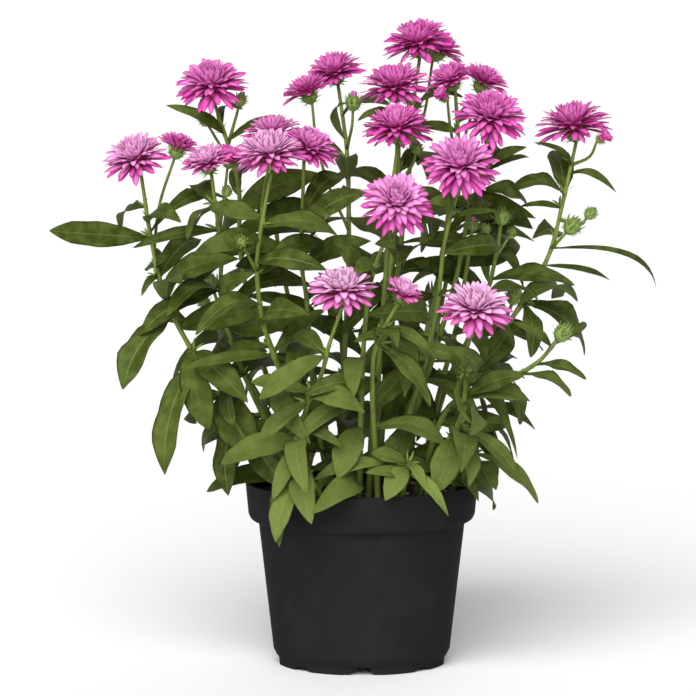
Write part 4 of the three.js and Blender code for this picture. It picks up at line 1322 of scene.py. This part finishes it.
def add_opening_rays(piece, centre, radius, facing):
    """The tips of the rays that a bud shows before it opens."""
    first, second = across(facing)
    length, width = OPENING_SIZE
    for k in range(OPENING_RAYS):
        out = spoke(first, second, k * GOLDEN_ANGLE)
        root = centre + facing * OPENING_PLACE[0] * radius + out * OPENING_PLACE[1] * radius
        add_ray(piece, root, out, facing, OPENING_RISE + k, OPENING_BEND, length * radius, width * radius,
                *OPENING_SHAPE, (0.5, 0.3, 0.6))


def stem_piece(stem, plant):
    """The stalk, cups, buds and leaves of one stem."""
    piece = Piece("young_" + stem.solid if stem.is_shoot else "leafy_" + stem.solid)
    add_stalks(piece, stem)
    for number, leaf in enumerate(stem.leaves):
        seed = LEAF_DRAWS * stem.order + number
        # painted light from the leaf's place, plus a share for the young shoots and a random part
        youth_and_light = painted_front_light(leaf) + (SHOOT_YOUTH if stem.is_shoot else 0) + YOUTH_VARIATION * draw(seed)
        add_leaf(piece, leaf, plant.leaf_thickness / MM, min(1, youth_and_light), seed)
        if draw(seed + 0.4) > TUFT_SHARE:
            add_tuft(piece, leaf, axis_at(stem.axis, leaf["height"])[1], seed)
    for number, (centre, radius, facing) in enumerate(stem.heads):
        size = radius / FULL_RADIUS
        add_cup(piece, centre, facing, CUP_RADIUS * size, CUP_DEPTH * size, CUP_BODY, CUP_LAYERS,
                CUP_DRAWS * stem.order + number)
    for number, (centre, radius, facing) in enumerate(stem.buds):
        add_cup(piece, centre, facing, radius, BUD_NECK * radius, BUD_BODY, BUD_LAYERS,
                BUD_DRAWS * stem.order + number)
        if stem.solid in OPENING_BUDS and radius >= OPENING_BUD_RADIUS:
            add_opening_rays(piece, centre, radius, facing)
    return piece


# The pot and its filling

def rounded(corners):
    """A profile whose corners [radius, height, rounding] are rounded, with points close beside each."""
    points = np.array([corner[:2] for corner in corners], float)
    profile = [points[0]]
    for i in range(1, len(points) - 1):
        corner, rounding = points[i], corners[i][2]
        before, after = points[i - 1] - corner, points[i + 1] - corner
        near = min(rounding, 0.4 * np.linalg.norm(before), 0.4 * np.linalg.norm(after))
        start, end = corner + unit(before) * near, corner + unit(after) * near
        if np.linalg.norm(before) > 4 * near:
            profile.append(start + unit(before) * near * 0.5)
        for t in np.linspace(0, 1, 5):
            profile.append((1 - t) ** 2 * start + 2 * t * (1 - t) * corner + t**2 * end)
        if np.linalg.norm(after) > 4 * near:
            profile.append(end + unit(after) * near * 0.5)
    profile.append(points[-1])
    return np.array(profile)


def lathe_rings(profile, step):
    """Rings of points round the pot's axis, one for each point of the profile."""
    angles = np.radians(np.arange(0, 360, step))
    radius, height = profile[:, :1], profile[:, 1:]
    flat = [radius * np.cos(angles), radius * np.sin(angles)]
    return np.stack([*flat, height * np.ones_like(angles)], axis=-1)


def from_nearest(angles, first):
    """The distance along the foot ring from the nearest of four places, a quarter turn apart."""
    quarter = np.pi / 2
    return FOOT_RADIUS * np.abs((angles - first + quarter / 2) % quarter - quarter / 2)


def pot_piece():
    """A thin-walled pot with a rolled collar and a foot ring with wide and narrow notches."""
    floor = FOOT_HEIGHT + FLOOR_THICKNESS
    profile = rounded([
        [POT_MIDDLE, FOOT_HEIGHT, 0],
        [FOOT_RADIUS - FOOT_WIDTH - 0.3, FOOT_HEIGHT, 0.5],
        [FOOT_RADIUS - FOOT_WIDTH, 0, 0.4],
        [FOOT_RADIUS, 0, 0.5],
        [FOOT_RADIUS + 0.3, FOOT_HEIGHT, 0.6],
        [STEP_RADIUS - 0.1, STEP_HEIGHT, 0.8],
        [SHOULDER_RADIUS, SHOULDER_HEIGHT, 0.9],
        [COLLAR_RADIUS - 1.4, COLLAR_BOTTOM - 2.8, 1.2],
        [COLLAR_RADIUS, COLLAR_BOTTOM, 1.2],
        [RIM_RADIUS, POT_HEIGHT, 0.7],
        [RIM_RADIUS - POT_WALL, POT_HEIGHT, 0.7],
        [COLLAR_RADIUS - POT_WALL, COLLAR_BOTTOM + 2, 1.2],
        [SHOULDER_RADIUS - POT_WALL, SHOULDER_HEIGHT + 1.5, 1.2],
        [STEP_RADIUS - POT_WALL, floor + 2, 1],
        [STEP_RADIUS - POT_WALL - 2, floor, 1],
        [POT_MIDDLE, floor, 0],
    ])
    rings = lathe_rings(profile, POT_STEP)
    angles = np.radians(np.arange(0, 360, POT_STEP))
    radius, height = np.hypot(rings[..., 0], rings[..., 1]), rings[..., 2]
    wide, narrow = from_nearest(angles, 0), from_nearest(angles, np.pi / 4)
    flare = np.clip((wide - NOTCH_TOP_HALF) / (NOTCH_FOOT_HALF - NOTCH_TOP_HALF), 0, 1)
    arch = NOTCH_HEIGHT * (1 - np.sqrt(1 - (1 - flare) ** 2))
    arch = np.where(wide < NOTCH_TOP_HALF, NOTCH_HEIGHT, arch)
    low_arch = SMALL_NOTCH_HEIGHT * smooth(-narrow, -SMALL_NOTCH_HALF, -SMALL_NOTCH_HALF * 0.6)
    is_foot = (height < FOOT_HEIGHT + 0.1) & (radius > FOOT_RADIUS - FOOT_WIDTH - 0.6)
    rings[..., 2] = np.where(is_foot, np.maximum(height, np.maximum(arch, low_arch)), height)
    is_outside = (radius > FOOT_RADIUS - 1.2) & (height < RECESS_HEIGHT)
    recess = RECESS_DEPTH * smooth(-wide, -RECESS_HALF, -RECESS_HALF + 0.6) * is_outside
    rings[..., :2] *= (1 - recess / radius)[..., None]
    piece = Piece("nursery_pot")
    piece.skin(rings, tube_paint(rings), (0.5, 0.5, 0.5), "plastic")
    return piece


def cut_drains(pot):
    """Drills the four drain holes through the floor of the pot."""
    form = bmesh.new()
    for quarter in range(4):
        angle = math.pi / 4 + quarter * math.pi / 2
        made = bmesh.ops.create_cone(
            form, cap_ends=True, segments=DRAIN_SIDES, radius1=DRAIN_RADIUS * MM,
            radius2=DRAIN_RADIUS * MM, depth=DRAIN_LENGTH * MM)
        x, y = DRAIN_CIRCLE * math.cos(angle), DRAIN_CIRCLE * math.sin(angle)
        bmesh.ops.translate(form, vec=Vector((x, y, FOOT_HEIGHT + 1)) * MM, verts=made["verts"])
    mesh = bpy.data.meshes.new("drains")
    form.to_mesh(mesh)
    form.free()
    drains = bpy.data.objects.new("drains", mesh)
    bpy.context.scene.collection.objects.link(drains)
    cut = pot.modifiers.new("Drains", "BOOLEAN")
    cut.operation, cut.solver, cut.object = "DIFFERENCE", "EXACT", drains
    apply_modifiers(pot)
    bpy.data.objects.remove(drains)


def apply_modifiers(made):
    """Puts the result of an object's modifiers in its mesh."""
    evaluated = made.evaluated_get(bpy.context.evaluated_depsgraph_get())
    mesh = bpy.data.meshes.new_from_object(evaluated)
    made.modifiers.clear()
    made.data = mesh


def soil_height(x, y):
    """The rough top of the filling. It drops a little towards the pot's wall."""
    swell, lumps, grit = (
        height * noise.noise(Vector((x, y, layer)) / size)
        for layer, (size, height) in zip((0, 30, 60), (SOIL_SWELL, SOIL_LUMPS, SOIL_GRIT)))
    edge = float(smooth(math.hypot(x, y), SOIL_EDGE - EDGE_WIDTH, SOIL_EDGE + 1))
    return SOIL_TOP - EDGE_DROP * edge + (1 - 0.5 * edge) * (swell + lumps + grit)


def crumb_form():
    """The corners and faces of a small ball."""
    ball = bmesh.new()
    bmesh.ops.create_icosphere(ball, subdivisions=1, radius=1)
    corners = np.array([corner.co for corner in ball.verts])
    faces = np.array([[corner.index for corner in face.verts] for face in ball.faces])
    ball.free()
    return corners, faces


def add_crumbs(piece, crumbs, reach):
    """Loose crumbs of peat, and a few larger pale grains."""
    rng = np.random.default_rng(CRUMB_DRAWS)
    corners, faces = crumb_form()
    for crumb in range(crumbs):
        is_light = crumb % LIGHT_CRUMB == 0
        radius = (reach - CRUMB_MARGIN) * math.sqrt(rng.random())
        angle = rng.random() * 2 * math.pi
        size = rng.uniform(*GRAIN_SIZES) if is_light else rng.uniform(*CRUMB_SIZES) ** CRUMB_POWER
        x, y = radius * math.cos(angle), radius * math.sin(angle)
        stretch = rng.uniform(*CRUMB_STRETCH, 3) * size
        shape = corners * rng.uniform(*CRUMB_DENTS, (len(corners), 1)) * stretch
        spin = rng.random() * math.pi
        cosine, sine = math.cos(spin), math.sin(spin)
        turn = np.array([[cosine, -sine, 0], [sine, cosine, 0], [0, 0, 1]])
        middle = vector(x, y, soil_height(x, y) + CRUMB_RISE * size)
        piece.add_faces(faces, "soil")
        piece.keep(shape @ turn.T + middle, (0.5, 0.5, 0),
                   (rng.random(), 1.0 if is_light else 0.0, rng.random()))


def soil_piece(crumbs):
    """Moist filling with a rough top, and loose crumbs on it."""
    inside = -POT_WALL - SOIL_GAP
    floor = FOOT_HEIGHT + FLOOR_THICKNESS + SOIL_GAP
    reach = COLLAR_RADIUS + inside
    wall = [
        [0.5, floor],
        [STEP_RADIUS + inside - 2.4, floor],
        [STEP_RADIUS + inside, floor + 2.4],
        [SHOULDER_RADIUS + inside, SHOULDER_HEIGHT + 2.1],
        [reach, COLLAR_BOTTOM + 2.6],
        [reach + 0.4, SOIL_TOP - 2.4],
    ]
    top = [[radius, SOIL_TOP] for radius in np.linspace(reach, 0.5, SOIL_RINGS)]
    rings = lathe_rings(np.array(wall + top), SOIL_STEP)
    for point in rings[len(wall):].reshape(-1, 3):
        point[2] = soil_height(point[0], point[1])
    piece = Piece("potting_soil")
    piece.skin(rings, tube_paint(rings), (0.5, 0, 0.5), "soil")
    add_crumbs(piece, crumbs, reach)
    return piece


# Node trees

def node(tree, kind, inputs=None, **settings):
    """Adds a node. An input is given by its name or number, as a value or as a socket to link."""
    made = tree.nodes.new(kind)
    for key, value in settings.items():
        setattr(made, key, value)
    for key, value in (inputs or {}).items():
        if isinstance(value, bpy.types.NodeSocket):
            tree.links.new(value, made.inputs[key])
        else:
            made.inputs[key].default_value = value
    return made


def calculate(tree, operation, first, second=0.0, clamp=False):
    """A Math node's result."""
    inputs = {0: first, 1: second}
    return node(tree, "ShaderNodeMath", inputs, operation=operation, use_clamp=clamp).outputs[0]


def times(tree, first, second):
    return calculate(tree, "MULTIPLY", first, second)


def plus(tree, first, second):
    return calculate(tree, "ADD", first, second)


def without_sign(tree, value):
    return calculate(tree, "ABSOLUTE", value)


def blend(tree, part, first, second):
    """A mix of two colours: the first where the part is 0, the second where it is 1."""
    inputs = {0: part, 6: with_alpha(first), 7: with_alpha(second)}
    return node(tree, "ShaderNodeMix", inputs, data_type="RGBA").outputs[2]


def with_alpha(colour):
    """A colour with its alpha, or a socket as it is."""
    return colour if isinstance(colour, bpy.types.NodeSocket) else (*colour[:3], 1.0)


def scaled(colour, factor):
    """A colour that is darker or lighter by a factor."""
    return [factor * part for part in colour]


def between(tree, value, low, high, to_low=0.0, to_high=1.0):
    """A value's smooth change from one range to another."""
    made = node(tree, "ShaderNodeMapRange", {0: value, 1: low, 2: high, 3: to_low, 4: to_high},
                interpolation_type="SMOOTHSTEP")
    return made.outputs[0]


def painted(tree, name):
    """The three parts of a value painted on the mesh."""
    source = node(tree, "ShaderNodeAttribute", attribute_name=name)
    parts = node(tree, "ShaderNodeSeparateXYZ", {0: source.outputs["Vector"]})
    return parts.outputs[0], parts.outputs[1], parts.outputs[2]


def new_group(name, inputs, outputs):
    """A node group with number inputs {name: default} and number outputs."""
    tree = bpy.data.node_groups.new(name, "ShaderNodeTree")
    for key, value in inputs.items():
        tree.interface.new_socket(key, in_out="INPUT", socket_type="NodeSocketFloat").default_value = value
    for key in outputs:
        tree.interface.new_socket(key, in_out="OUTPUT", socket_type="NodeSocketFloat")
    return tree, node(tree, "NodeGroupInput").outputs, node(tree, "NodeGroupOutput").inputs


def veins_group():
    """The midrib and the slanting side veins of a blade, as masks."""
    inputs = {"Along": 0, "Across": 0, "Count": 7, "Slant": 0.22, "Rib Width": 0.09}
    tree, given, results = new_group("Blade veins", inputs, ["Rib", "Veins"])
    away = without_sign(tree, given["Across"])
    rib = calculate(tree, "DIVIDE", away, given["Rib Width"])
    tree.links.new(between(tree, rib, 1.0, 0.3), results["Rib"])
    slanted = calculate(tree, "SUBTRACT", given["Along"], times(tree, away, given["Slant"]))
    stripes = calculate(tree, "FRACT", times(tree, slanted, given["Count"]))
    lines = between(tree, without_sign(tree, calculate(tree, "SUBTRACT", stripes, 0.5)), 0.12, 0.02)
    tree.links.new(times(tree, lines, between(tree, away, 1.0, 0.5)), results["Veins"])
    return tree


def mottle_group():
    """Cloudy and fine unevenness over a surface, both between 0 and 1."""
    tree, given, results = new_group("Mottle", {"Cloud Scale": 60, "Grain Scale": 900}, ["Clouds", "Grain"])
    position = node(tree, "ShaderNodeTexCoord").outputs["Object"]
    for scale, result in (("Cloud Scale", "Clouds"), ("Grain Scale", "Grain")):
        noises = node(tree, "ShaderNodeTexNoise", {"Vector": position, "Scale": given[scale], "Detail": 3.0})
        tree.links.new(noises.outputs["Fac"], results[result])
    return tree


def streaks_group():
    """Unevenness between 0 and 1 that can be drawn out upwards: the smaller Upright, the longer it is."""
    tree, given, results = new_group("Streaks", {"Scale": 100, "Detail": 3, "Upright": 1}, ["Streaks"])
    position = node(tree, "ShaderNodeTexCoord").outputs["Object"]
    stretch = node(tree, "ShaderNodeCombineXYZ", {"X": 1.0, "Y": 1.0, "Z": given["Upright"]})
    fitted = node(tree, "ShaderNodeMapping", {"Vector": position, "Scale": stretch.outputs[0]})
    noises = node(tree, "ShaderNodeTexNoise", {"Vector": fitted.outputs[0], "Scale": given["Scale"],
                                               "Detail": given["Detail"], "Roughness": 0.55})
    tree.links.new(noises.outputs["Fac"], results["Streaks"])
    return tree


def in_group(tree, group_name, maker, inputs):
    """Places a shared group in a material, making the group the first time."""
    group = bpy.data.node_groups.get(group_name) or maker()
    return node(tree, "ShaderNodeGroup", inputs, node_tree=group).outputs


def mottle(tree, cloud_scale, grain_scale):
    inputs = {"Cloud Scale": cloud_scale, "Grain Scale": grain_scale}
    return in_group(tree, "Mottle", mottle_group, inputs)


def streaks(tree, scale, detail=3.0, upright=1.0):
    inputs = {"Scale": scale, "Detail": detail, "Upright": upright}
    return in_group(tree, "Streaks", streaks_group, inputs)["Streaks"]


def new_material(name):
    """A material with a Principled shader, and its tree."""
    material = bpy.data.materials.new(name)
    material.use_nodes = True
    tree = material.node_tree
    return material, tree, tree.nodes["Principled BSDF"]


def feed(tree, shader, **inputs):
    """Sets or links the shader's sockets, whose names are written with underlines here."""
    for key, value in inputs.items():
        socket = shader.inputs[key.replace("_", " ")]
        if isinstance(value, bpy.types.NodeSocket):
            tree.links.new(value, socket)
        else:
            socket.default_value = value


def bump(tree, height, strength, distance):
    inputs = {"Height": height, "Strength": strength, "Distance": distance}
    return node(tree, "ShaderNodeBump", inputs).outputs[0]


def leaf_material(plant):
    """A dull green blade: dark above with a pale rib, and grey-green below, with painted light that makes
    leaves low at the plant's front lighter.
    """
    material, tree, shader = new_material("Aster leaf")
    along, across_blade, under = painted(tree, "blade")
    tint, youth_and_light, seed = painted(tree, "tone")
    veins = in_group(tree, "Blade veins", veins_group, {"Along": along, "Across": across_blade})
    uneven = mottle(tree, 130.0, 1500.0)
    dark = scaled(plant.old_leaf, 0.45)
    # painted light: leaves low at the plant's front mix towards the young and lit colour
    colour = blend(tree, youth_and_light, plant.old_leaf, plant.young_leaf)
    colour = blend(tree, times(tree, tint, 0.6), colour, dark)
    colour = blend(tree, between(tree, uneven["Clouds"], 0.35, 0.7, 0.0, 0.35), colour, plant.young_leaf)
    colour = blend(tree, times(tree, veins["Veins"], 0.08), colour, VEIN_GREEN)
    rib_strength = between(tree, seed, 0.2, 1.0, 0.08, 0.4)
    colour = blend(tree, times(tree, veins["Rib"], rib_strength), colour, RIB_GREEN)
    margin = between(tree, without_sign(tree, across_blade), 0.86, 1.0)
    margin = times(tree, margin, between(tree, seed, 0.45, 0.9))
    colour = blend(tree, times(tree, margin, 0.5), colour, MARGIN_RED)
    below = blend(tree, times(tree, veins["Rib"], 0.5), plant.underside, LOWER_RIB_GREEN)
    colour = blend(tree, between(tree, under, 0.55, 0.95), colour, below)
    position = node(tree, "ShaderNodeTexCoord").outputs["Object"]
    net = node(tree, "ShaderNodeTexVoronoi", {"Vector": position, "Scale": 480.0}, feature="DISTANCE_TO_EDGE")
    net_lines = between(tree, net.outputs["Distance"], 0.0, 0.12)
    colour = blend(tree, times(tree, net_lines, 0.12), colour, dark)
    relief = plus(tree, times(tree, veins["Veins"], -0.8), uneven["Grain"])
    relief = plus(tree, relief, times(tree, net_lines, 0.8))
    relief = plus(tree, relief, times(tree, uneven["Clouds"], 3.0))
    feed(tree, shader, Base_Color=colour, Roughness=between(tree, uneven["Clouds"], 0.3, 0.7, 0.42, 0.6),
         Normal=bump(tree, relief, 0.5, 0.0006), Specular_IOR_Level=0.1)
    return material


def stalk_material(plant):
    """A green stem with fine lengthwise lines, reddish here and there."""
    material, tree, shader = new_material("Aster stalk")
    tint, _, _ = painted(tree, "tone")
    lines = streaks(tree, 420.0, 2.0, 0.12)
    colour = blend(tree, between(tree, lines, 0.35, 0.7), scaled(plant.stalk, 0.65), plant.stalk)
    flush = times(tree, between(tree, streaks(tree, 45.0), 0.55, 0.75), times(tree, tint, 0.35))
    colour = blend(tree, flush, colour, STALK_RED)
    feed(tree, shader, Base_Color=colour, Roughness=0.55, Normal=bump(tree, lines, 0.4, 0.0004))
    return material


def bract_material():
    """Small green scales of the cups and buds, lighter at their roots and edges."""
    material, tree, shader = new_material("Aster bract")
    along, across_blade, _ = painted(tree, "blade")
    tint, _, _ = painted(tree, "tone")
    colour = blend(tree, along, BRACT_ROOT_GREEN, BRACT_TIP_GREEN)
    colour = blend(tree, times(tree, tint, 0.5), colour, BRACT_LIGHT_GREEN)
    edge = between(tree, without_sign(tree, across_blade), 0.5, 1.0)
    colour = blend(tree, times(tree, edge, 0.35), colour, BRACT_EDGE_GREEN)
    feed(tree, shader, Base_Color=colour, Roughness=0.6,
         Normal=bump(tree, streaks(tree, 1200.0), 0.3, 0.0003))
    return material


def ray_material(plant):
    """A soft ray: lengthwise lines, pale at the heart of the head, deep at its root as painted shade between
    the rays, and a little deeper below.
    """
    material, tree, shader = new_material("Aster ray")
    along, across_blade, under = painted(tree, "blade")
    tint, heart, pale_head = painted(tree, "tone")
    clouds = streaks(tree, 240.0)
    lines = calculate(tree, "COSINE", times(tree, across_blade, 6.3))
    lines = times(tree, between(tree, lines, -0.8, 0.9), 0.35)
    pale = times(tree, pale_head, between(tree, heart, 0.1, 0.6, 0.15, 1.25))
    pale = plus(tree, pale, times(tree, lines, 0.5))
    pale = plus(tree, pale, times(tree, tint, 0.4))
    pale = calculate(tree, "SUBTRACT", pale, 0.16, clamp=True)
    colour = blend(tree, pale, plant.petal, plant.petal_pale)
    white = times(tree, between(tree, pale_head, 0.5, 1.2), between(tree, heart, 0.1, 0.6, 0.1, 0.8))
    colour = blend(tree, white, colour, HEART_WHITE)
    edge = between(tree, without_sign(tree, across_blade), 0.35, 1.0)
    edge = calculate(tree, "MAXIMUM", edge, between(tree, along, 0.82, 1.0))
    edge = times(tree, edge, between(tree, heart, 0.3, 0.7, 0.55, 0.3))
    colour = blend(tree, edge, colour, plant.petal_deep_and_shade)
    # painted shade: the ray turns deep towards its root, where the rays crowd and shade each other; it is
    # also a little deeper on its underside
    deep = between(tree, along, 0.55, 0.05, 0.0, 0.9)
    deep = calculate(tree, "MAXIMUM", deep, between(tree, under, 0.55, 0.95, 0.0, 0.1))
    colour = blend(tree, deep, colour, plant.petal_deep_and_shade)
    colour = blend(tree, between(tree, clouds, 0.3, 0.75, 0.0, 0.12), colour, plant.petal_pale)
    ribs = plus(tree, times(tree, lines, 2.0), clouds)
    feed(tree, shader, Base_Color=colour, Roughness=0.5, Normal=bump(tree, ribs, 0.3, 0.0002),
         Specular_IOR_Level=0.15)
    return material


def plastic_material(pot):
    """Satin black plastic with fine scuffs and a little dust."""
    material, tree, shader = new_material("Moulded plastic")
    uneven = mottle(tree, 45.0, 2200.0)
    scuffs = streaks(tree, 260.0, 4.0, 0.25)
    lighter = [part + 0.02 for part in pot.plastic]
    dust = times(tree, between(tree, uneven["Clouds"], 0.48, 0.75), 0.16)
    colour = blend(tree, dust, pot.plastic, lighter)
    colour = blend(tree, between(tree, scuffs, 0.62, 0.75, 0.0, 0.25), colour, lighter)
    rough = plus(tree, times(tree, uneven["Clouds"], 0.16), pot.roughness)
    feed(tree, shader, Base_Color=colour, Roughness=rough, Normal=bump(tree, uneven["Grain"], 0.25, 0.0002),
         Specular_IOR_Level=0.02)
    return material


def peat_material(pot):
    """Moist peat with lighter fibres, and pale grains where the crumbs are painted pale."""
    material, tree, shader = new_material("Moist peat")
    tint, is_light, _ = painted(tree, "tone")
    uneven = mottle(tree, 90.0, 700.0)
    colour = blend(tree, between(tree, uneven["Grain"], 0.4, 0.68), pot.peat, scaled(pot.peat, 2.6))
    colour = blend(tree, between(tree, uneven["Clouds"], 0.5, 0.7, 0.0, 0.6), colour, scaled(pot.peat, 0.5))
    colour = blend(tree, times(tree, tint, 0.4), colour, scaled(pot.peat, 3.2))
    colour = blend(tree, is_light, colour, GRAIN_WHITE)
    feed(tree, shader, Base_Color=colour, Roughness=0.9, Normal=bump(tree, uneven["Grain"], 0.8, 0.001))
    return material


def floor_material(studio):
    """A plain pale floor with a faint unevenness."""
    material, tree, shader = new_material("Pale floor")
    colour = blend(tree, streaks(tree, 0.8), studio.floor, scaled(studio.floor, 0.97))
    feed(tree, shader, Base_Color=colour, Roughness=0.85)
    return material


MAKERS = {
    "leaf": lambda scene: leaf_material(scene.aster_plant),
    "stalk": lambda scene: stalk_material(scene.aster_plant),
    "bract": lambda scene: bract_material(),
    "ray": lambda scene: ray_material(scene.aster_plant),
    "plastic": lambda scene: plastic_material(scene.aster_pot),
    "soil": lambda scene: peat_material(scene.aster_pot),
}
made_materials = {}


def finish_for(name):
    """The material of one of the finishes, made the first time it is asked for."""
    if name not in made_materials:
        made_materials[name] = MAKERS[name](bpy.context.scene)
    return made_materials[name]


def place(piece, node_name):
    """Builds a piece in the place of a plain solid of the frame."""
    made = piece.build()
    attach(made, "root")
    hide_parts(node_name)


# Operators

class ASTER_OT_pot(bpy.types.Operator):
    """Builds the nursery pot."""

    bl_idname = "aster.pot"
    bl_label = "Nursery pot"

    def execute(self, context):
        made = pot_piece().build()
        cut_drains(made)
        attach(made, "root")
        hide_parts("pot")
        return {"FINISHED"}


class ASTER_OT_soil(bpy.types.Operator):
    """Builds the filling of the pot with its loose crumbs."""

    bl_idname = "aster.soil"
    bl_label = "Potting soil"

    def execute(self, context):
        place(soil_piece(context.scene.aster_pot.crumbs), "soil")
        return {"FINISHED"}


class ASTER_OT_stems(bpy.types.Operator):
    """Grows the leafy stems and the young shoots, with their cups and buds."""

    bl_idname = "aster.stems"
    bl_label = "Stems and leaves"

    def execute(self, context):
        for stem in grown_stems():
            place(stem_piece(stem, context.scene.aster_plant), stem.solid)
        return {"FINISHED"}


class ASTER_OT_heads(bpy.types.Operator):
    """Builds the double flower heads."""

    bl_idname = "aster.heads"
    bl_label = "Flower heads"

    def execute(self, context):
        made = 0
        for key, parts in STEMS.items():
            ends = [parts] + [end for _, _, end in parts.get("branches", [])]
            heads = [end["bloom"] for end in ends if "bloom" in end]
            for number, (centre, radius, facing) in enumerate(heads):
                name = key if number == 0 else f"{key}{number + 1}"
                piece = bloom_piece(f"head_{name}", vector(*centre), radius, vector(*facing),
                                    HEAD_DRAWS * made, context.scene.aster_plant)
                place(piece, f"bloom_{name}")
                made += 1
        return {"FINISHED"}


class ASTER_OT_stage(bpy.types.Operator):
    """Sets up the pale floor, the soft lights and the camera."""

    bl_idname = "aster.stage"
    bl_label = "Studio"

    def execute(self, context):
        scene = context.scene
        studio = scene.aster_studio
        floor = bpy.data.meshes.new("Pale floor")
        edge = FLOOR_HALF
        corners = [(-edge, -edge, 0), (edge, -edge, 0), (edge, edge, 0), (-edge, edge, 0)]
        floor.from_pydata(corners, [], [(0, 1, 2, 3)])
        floor.materials.append(floor_material(studio))
        ground = bpy.data.objects.new("pale_floor", floor)
        scene.collection.objects.link(ground)
        lights = (("Key light", studio.key_strength, KEY_SPREAD, KEY_PLACE),
                  ("Fill light", studio.fill_strength, FILL_SPREAD, FILL_PLACE),
                  ("Back light", studio.back_strength, BACK_SPREAD, BACK_PLACE))
        for name, strength, spread, position in lights:
            light = bpy.data.lights.new(name, "SUN")
            light.energy = strength
            light.angle = math.radians(spread)
            lamp = bpy.data.objects.new(name, light)
            aim(lamp, position, LIGHT_AIM)
            scene.collection.objects.link(lamp)
        world = bpy.data.worlds.new("Pale room")
        world.use_nodes = True
        world.node_tree.nodes["Background"].inputs["Color"].default_value = (1, 1, 1, 1)
        world.node_tree.nodes["Background"].inputs["Strength"].default_value = studio.room
        scene.world = world
        scene.view_settings.view_transform = "Standard"
        camera = bpy.data.cameras.new("Camera")
        camera.sensor_width = SENSOR_WIDTH
        camera.lens = LENS
        viewer = bpy.data.objects.new("Camera", camera)
        aim(viewer, CAMERA_PLACE, CAMERA_AIM)
        scene.collection.objects.link(viewer)
        scene.camera = viewer
        return {"FINISHED"}


def aim(made, position, target):
    """Puts a light or the camera in its place, looking at the target."""
    made.location = position
    made.rotation_euler = (Vector(target) - Vector(position)).to_track_quat("-Z", "Y").to_euler()


class ASTER_PT_panel(bpy.types.Panel):
    """The steps that build the aster, in their order."""

    bl_label = "Potted aster"
    bl_space_type = "VIEW_3D"
    bl_region_type = "UI"
    bl_category = "Aster"

    def draw(self, context):
        for operator in OPERATORS:
            self.layout.operator(operator.bl_idname)


SETTINGS = {"aster_pot": PotSettings, "aster_plant": PlantSettings, "aster_studio": StudioSettings}
OPERATORS = (ASTER_OT_pot, ASTER_OT_soil, ASTER_OT_stems, ASTER_OT_heads, ASTER_OT_stage)


def register():
    for name, settings in SETTINGS.items():
        bpy.utils.register_class(settings)
        setattr(bpy.types.Scene, name, PointerProperty(type=settings))
    for kind in (*OPERATORS, ASTER_PT_panel):
        bpy.utils.register_class(kind)


def unregister():
    for kind in (ASTER_PT_panel, *reversed(OPERATORS)):
        bpy.utils.unregister_class(kind)
    for name, settings in reversed(SETTINGS.items()):
        delattr(bpy.types.Scene, name)
        bpy.utils.unregister_class(settings)


def main():
    """Builds the aster and its stage."""
    register()
    bpy.ops.aster.pot()
    bpy.ops.aster.soil()
    bpy.ops.aster.stems()
    bpy.ops.aster.heads()
    bpy.ops.aster.stage()


if __name__ == "__main__":
    main()
